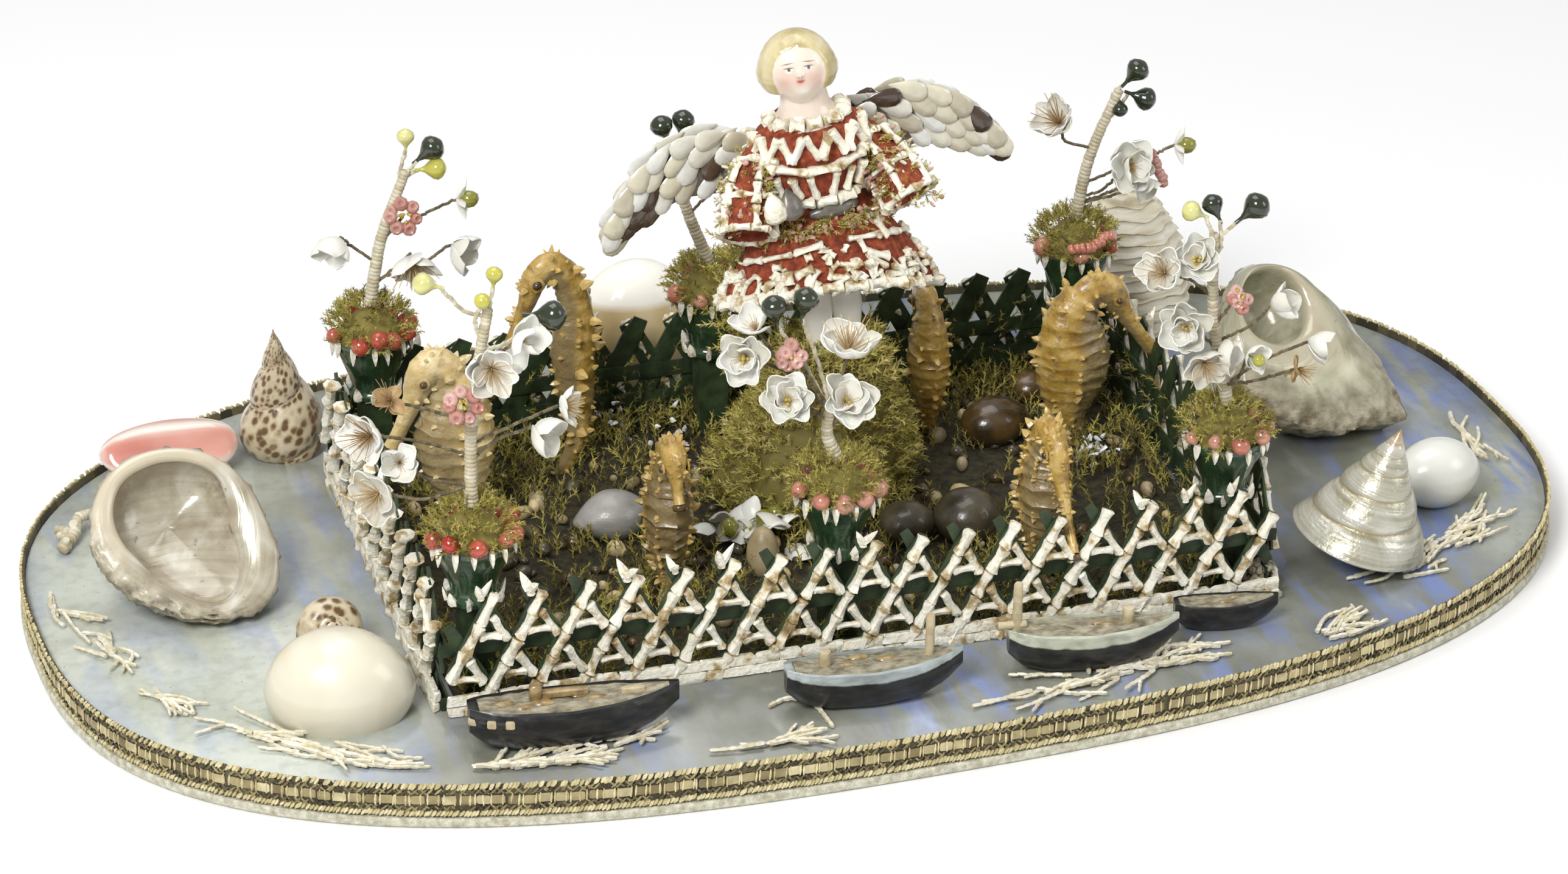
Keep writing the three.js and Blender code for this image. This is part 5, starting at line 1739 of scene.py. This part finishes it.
def buildGardenPetals():
    x, y = petalGroup["at"]
    bag = []
    for i in range(petalGroup["petals"]):
        place = moved(x + stray(6.5), y + stray(4), seaTop + 3 + 8 * chance())
        turn = Matrix.Rotation(draw(0, 6.3), 4, "Z") @ Matrix.Rotation(draw(.1, 1.0), 4, "X")
        reach = draw(9, 14)
        lay(bag, petal, place @ turn @ sized(reach, reach, -reach), chance())
    for dx, dy, dz in petalGroup["fruits"]:
        fruit = put((x + dx, y + dy, seaTop + dz), size=(3.4, 3.4, 4))
        lay(bag, bead, fruit, bulbTints["olive"], bulbWax)
    buildPiece("petal_shell_group", bag, "white_shell", ["garden_petal_shell"], 60)


buildGardenPetals()
print("shells done")


# Boats: carved hulls with a sunk deck

# masts are each a share along the boat, a rise and a girth
boats = {
    "left": {"at": (-117, -133), "swing": -5, "long": 72, "beam": 20, "deep": 18.5, "hull": blackHull,
             "lumps": 9},
    "middle": {"at": (-12, -136), "swing": -5, "long": 62, "beam": 18, "deep": 17.5, "hull": greyStrake,
               "lumps": 3, "masts": [(-.28, 5.5, 2.2), (.31, 16, 1.7)]},
    "right": {"at": (68, -134), "swing": -9, "long": 60, "beam": 17, "deep": 18, "hull": greenStrake,
              "lumps": 3, "masts": [(-.45, 18, 1.8), (.20, 6, 2.2)], "sprit": 10},
    "small": {"at": (122, -121), "swing": -10, "long": 37, "beam": 12, "deep": 12, "hull": blackHull,
              "lumps": 3},
}
boatSide = [(.30, .01), (.56, .05), (.77, .16), (.91, .36), (.99, .66), (1.0, .96), (.92, 1.0)]
boatSection = [(-u, v) for u, v in boatSide[::-1]] + [(0, 0)] + boatSide + [(.88, .90), (-.88, .90)]
boatStations = 24
# along a hull from its stern: shares of the length, then the half width, keel and gunwale there
boatLines = {
    "wide": ((0, .06, .2, .45, .7, .88, 1), (.35, .62, .88, 1, .84, .45, .05)),
    "low": ((0, .08, .25, .55, .75, .9, 1), (.42, .16, .02, 0, .10, .34, .66)),
    "high": ((0, .15, .5, .85, 1), (.98, .93, .90, .98, 1.06)),
}
boatMast = [(0, 1), (.3, .92), (.36, 1.02), (.66, .9), (.72, 1), (.97, .9), (1, .7)]
sternAcross = (3.4, 5.7, 6.9, 7.8, 8.5)  # half width at each chequer of the left boat's stern


def buildBoat(name, plan):
    long, beam, deep = plan["long"], plan["beam"], plan["deep"]
    home = onSea(plan["at"], plan["swing"])
    rings, flows, deck = [], [], []
    for i in range(boatStations + 1):
        t = i / boatStations
        wide, low, high = (size * np.interp(t, *boatLines[line])
                           for size, line in ((beam / 2, "wide"), (deep, "low"), (deep, "high")))
        x = long * (t - .5)
        rings.append([(x, wide * u, low + (high - low) * v) for u, v in boatSection])
        flows.append([(v, 0, 0) for u, v in boatSection])
        deck.append([(x * .985, wide * .9 * cos(a),
                      high + deep * (.05 * sin(a) + .012 * sin(7 * t * i) - .055)) for a in circle(10)])
    bag = [(sweptModel(plan["hull"], rings, flows), home, 0), (sweptModel(deckWood, deck[1:-1]), home, 0)]

    def fit(model, finish, place):
        lay(bag, model, home @ place, 0, finish)

    for i in range(plan["lumps"]):
        size = draw(1.0, 2.2) * long / 72
        spot = (draw(-.38, .22) * long, draw(-.22, .22) * beam, deep * .90)
        fit(bead, amberGlue, put(spot, size=(size * 2.2, size, size * .5)))
    if name == "left":
        fit(slab, amberGlue, put((-5, 2, deep * .98), size=(20, 3.4, 2.4)))
        fit(slab, amberGlue, put((-13, 1, deep * 1.06), (.1, 0, 1), (4, 4, 6)))
        fit(slab, chequerTan, put((20, -1, deep * .98), (0, .1, 1), (8, 2.2, 2.2)))
        for k, across in enumerate(sternAcross):
            for face in (-1, 1):
                spot = moved(3.0 * k - 35, face * across, deep * .72) @ spun(face * (28 - 5 * k))
                fit(slab, blackHull if k % 2 else chequerTan, spot @ sized(3.1, 1.3, 3.0))
    stick = turnedModel(chequerTan, boatMast, 9)
    for share, rise, girth in plan.get("masts", []):
        fit(stick, chequerTan, put((long * share, 0, deep * .82), (.02, 0, 1),
                                   (girth, girth, rise + deep * .1)))
    if "sprit" in plan:
        fit(stick, chequerTan, put((-long * .56, 0, deep * 1.0), (1, 0, .05), (1.5, 1.5, plan["sprit"])))
    buildPiece("carved_boat_" + name, bag, "boat_paint", ["boat_" + name], 42)


for name, plan in boats.items():
    buildBoat(name, plan)
print("boats done")


# Garden ground, with moss tufts, pebbles, crystals and small shells

garden = {"low": (-150, -99), "high": (141, 82), "cells": (48, 32), "tufts": 3300, "pebbles": 240, "hedge": 620,
          "bare": (72, 18, 38, 44), "crystals": 34, "crystalBeds": [(-48, 82), (119, 7), (-30, 60)],
          "stones": (garnetStone, pebbleBrown, tulipTan, pebbleBrown, garnetStone, creamShell)}
mossPatches = [(-120, 30, 34), (-60, 78, 26), (-135, -60, 24), (-120, -75, 20), (70, 50, 26), (120, 10, 30),
               (66, -66, 24), (-60, -45, 24), (20, -10, 26), (100, 70, 30), (-95, 60, 26), (0, 70, 30),
               (130, -70, 20)]


def buildGround():
    clearSelection()
    (x0, y0), (x1, y1) = garden["low"], garden["high"]
    across, deep = garden["cells"]
    bpy.ops.mesh.primitive_grid_add(x_subdivisions=across, y_subdivisions=deep, size=1)
    obj = bpy.context.object
    bpy.ops.object.mode_set(mode="EDIT")
    bpy.ops.mesh.select_all(action="SELECT")
    bpy.ops.mesh.extrude_region_move(TRANSFORM_OT_translate={"value": (0, 0, 1)})
    bpy.ops.mesh.select_all(action="SELECT")
    bpy.ops.mesh.normals_make_consistent(inside=False)
    bpy.ops.object.mode_set(mode="OBJECT")

    def lie(co):
        x, y = (x0 + x1) / 2 + co.x * (x1 - x0), (y0 + y1) / 2 + co.y * (y1 - y0)
        lump = 1.6 + .8 * sin(x * .21) * cos(y * .17) + .6 * sin(x * .47 + y * .31)
        return Vector((x, y, seaTop + .1 + (max(.4, lump) if co.z > .5 else 0)))
    shapeVerts(obj, lie)
    # the dark bed also paints the shade between the moss tufts
    bag = [(takeModel(mossBedAndShade), Matrix(), 0)]
    bareX, bareY, bareWide, bareDeep = garden["bare"]
    for i in range(garden["tufts"]):
        cx, cy, reach = mossPatches[i % len(mossPatches)] if i % 2 else (0, -8, 140)
        x = np.clip(dice.normal(cx, reach * .6), x0 + 3, x1 - 3)
        y = np.clip(dice.normal(cy, reach * .6), y0 + 3, y1 - 3)
        # a nearly bare dark patch between the mound and the seahorses
        inBare = hypot((x - bareX) / bareWide, (y - bareY) / bareDeep) < 1
        if not inBare or chance() < .3:
            mossTuft(bag, (x, y, seaTop + 1.5 + 5 * chance() ** 2), (0, 0, 1), 8.6,
                     mossTint(-.3 if inBare else -.16), lowMoss)
    # dark moss that creeps up the insides of the back and right fences; its darkest tint also paints the deep
    # shade there
    for i in range(garden["hedge"]):
        share, high = chance(), seaTop + 34 * chance() ** 1.6
        inward = (0, -.7, .8) if i % 4 else (-.7, 0, .8)
        spot = (x0 + (x1 - x0) * share, y1 + 1, high) if i % 4 else (x1 + 1, y0 + (y1 - y0) * share, high)
        mossTuft(bag, spot, inward, 7.0, mossTint(-.36), lowMoss)
    for i in range(garden["pebbles"]):
        size = draw(1.6, 4.2)
        spot = (draw(x0 + 6, x1 - 6), draw(y0 + 6, y1 - 6), seaTop + 2 + size * .3)
        stone = inFinish(bead, garden["stones"][dice.integers(6)])
        place = put(spot, dice.normal(0, 1, 3), (size, size * draw(.6, 1), size * .7))
        lay(bag, stone, place, chance())
    for bed in garden["crystalBeds"]:
        for i in range(garden["crystals"]):
            spot = Vector((*bed, seaTop + 6)) + jitter(3.6)
            place = put(spot, dice.normal(0, 1, 3), (.9, 1.2, draw(2, 4)))
            lay(bag, tooth, place, 0, crystalWhite)
    buildPiece("garden_ground", bag, "moss", (), 35)


buildGround()


# Coralline sprigs lying on the sea

# each bed is its two ends, how many sprigs lie along it and how wide they stray
sprigBeds = [
    ((-223, -102), (-170, -143), 26, 7), ((-165, -150), (-83, -138), 30, 5),
    ((41, -151), (118, -131), 34, 6), ((151, -139), (176, -130), 12, 4),
    ((190, -104), (258, -66), 34, 8), ((262, -2), (258, -40), 10, 4),
    ((-276, 6), (-262, -28), 7, 4), ((-258, -31), (-253, -50), 8, 3),
    ((-246, -67), (-239, -84), 9, 3), ((-58, -157), (-32, -153), 9, 3),
]
sprigHook = [(-48, -131, seaTop + 1), (-40, -128, seaTop + 1.2), (-33, -134, seaTop + 1.2),
             (-31, -150, seaTop + 1)]
coralKnob = [(-263, 46, seaTop + 2), (-257, 54, seaTop + 4), (-254, 62, seaTop + 6), (-248, 66, seaTop + 4)]
twigs = {"count": 26, "at": (140, -101)}


def onBoard(spot):
    # draws a point in to the edge of the sea where it lies past it
    wide, deep, power = board["halfLong"] - 8, board["halfWide"] - 9, board["power"]
    over = (abs(spot.x) / wide) ** power + (abs(spot.y) / deep) ** power
    pull = min(1, over ** (-1 / power))
    return Vector((spot.x * pull, spot.y * pull, spot.z))


def buildSprigs():
    bag = []
    for start, end, count, wide in sprigBeds:
        start, end = Vector((*start, seaTop + .9)), Vector((*end, seaTop + .9))
        run = end - start
        side = Vector((-run.y, run.x, 0)).normalized()
        for i in range(count):
            reach = min(run.length * .7, draw(10, 24))
            share = draw(0, max(.05, 1 - reach / run.length))
            foot = start + run * share + side * stray(wide * .5) + Vector((0, 0, 1.6 * chance()))
            aim = run.normalized() * dice.choice((1, 1, 1, -1)) + side * stray(.3)
            tip = foot + aim * reach
            tip.z = seaTop + .8 + 2.2 * chance()
            foot, tip = onBoard(foot), onBoard(tip)
            knee = (foot + tip) / 2 + side * stray(1.5)
            chain(bag, sprigLink, [foot, knee, tip], draw(.8, 1.15), 2.9, .8, wobble=.14)
            if chance() < .6:
                chain(bag, sprigLink, [knee, knee + aim * reach * .3 + side * stray(3)], .8, 2.6, .8,
                      wobble=.12)
    chain(bag, sprigLink, sprigHook, 1.0, 3.0)
    knob = smoothPath(coralKnob, 2.0)
    chain(bag, link, knob, 2.5, 2.0, .8, wobble=.2)
    for spot in knob[1::2]:
        tip = Vector(spot) + Vector((stray(4), stray(3), draw(0, 4)))
        chain(bag, link, [spot, tip], 2.0, 1.8, .8, wobble=.2)
    x, y = twigs["at"]
    for i in range(twigs["count"]):
        foot = Vector((x + stray(3), y + stray(2), seaTop + draw(1, 9)))
        chain(bag, inFinish(sprigLink, deckWood), [foot, foot + jitter(2.4)], 1.6, 2.0, .8, wobble=.4)
    buildPiece("sea_sprigs", bag, "cream_shell", (), 50)


buildSprigs()
print("garden and sprigs done")


# Floor, light and camera

studio = {
    "floor": 8, "floorDrop": -.0002, "floorTone": (.88, .88, .88, 1), "glow": .43,
    "lights": [("keyLight", (-.9, -1.1, 1.3), 28, .6), ("topLight", (-.1, .4, 1.7), 12, 1.2),
               ("sideLight", (1.5, -.8, .9), 6, .8)],
    "lightsMeet": (0, 0, .05), "lens": 115.99, "sensor": 36, "clip": (.05, 30),
    "camera": (-461.8, -1567.5, 885.4), "looks": (.249113, .853895, -.456953),
}


def lookAlong(aim):
    return Vector(aim).to_track_quat("-Z", "Y").to_euler()


def buildStage():
    clearSelection()
    bpy.ops.mesh.primitive_plane_add(size=studio["floor"], location=(0, 0, studio["floorDrop"]))
    floor = bpy.context.object
    floor.name = "studio_floor"
    pale = startFinish("studioPale", 0.8)
    pale.node_tree.nodes["Principled BSDF"].inputs["Base Color"].default_value = studio["floorTone"]
    floor.data.materials.append(pale)
    world = bpy.data.worlds.new("studioWorld")
    world.use_nodes = True
    backdrop = world.node_tree.nodes["Background"]
    backdrop.inputs["Color"].default_value = (1, 1, 1, 1)
    backdrop.inputs["Strength"].default_value = studio["glow"]
    bpy.context.scene.world = world
    for name, place, power, size in studio["lights"]:
        bpy.ops.object.light_add(type="AREA", location=place)
        lamp = bpy.context.object
        lamp.name = name
        lamp.data.energy = power
        lamp.data.size = size
        lamp.rotation_euler = lookAlong(Vector(studio["lightsMeet"]) - Vector(place))
    lens = bpy.data.cameras.new("photoCamera")
    lens.lens, lens.sensor_width, lens.sensor_fit = studio["lens"], studio["sensor"], "HORIZONTAL"
    lens.clip_start, lens.clip_end = studio["clip"]
    camera = bpy.data.objects.new("photoCamera", lens)
    bpy.context.scene.collection.objects.link(camera)
    camera.location = Vector(studio["camera"]) * mm
    camera.rotation_euler = lookAlong(studio["looks"])
    bpy.context.scene.camera = camera
    bpy.context.scene.view_settings.view_transform = "Standard"


buildStage()
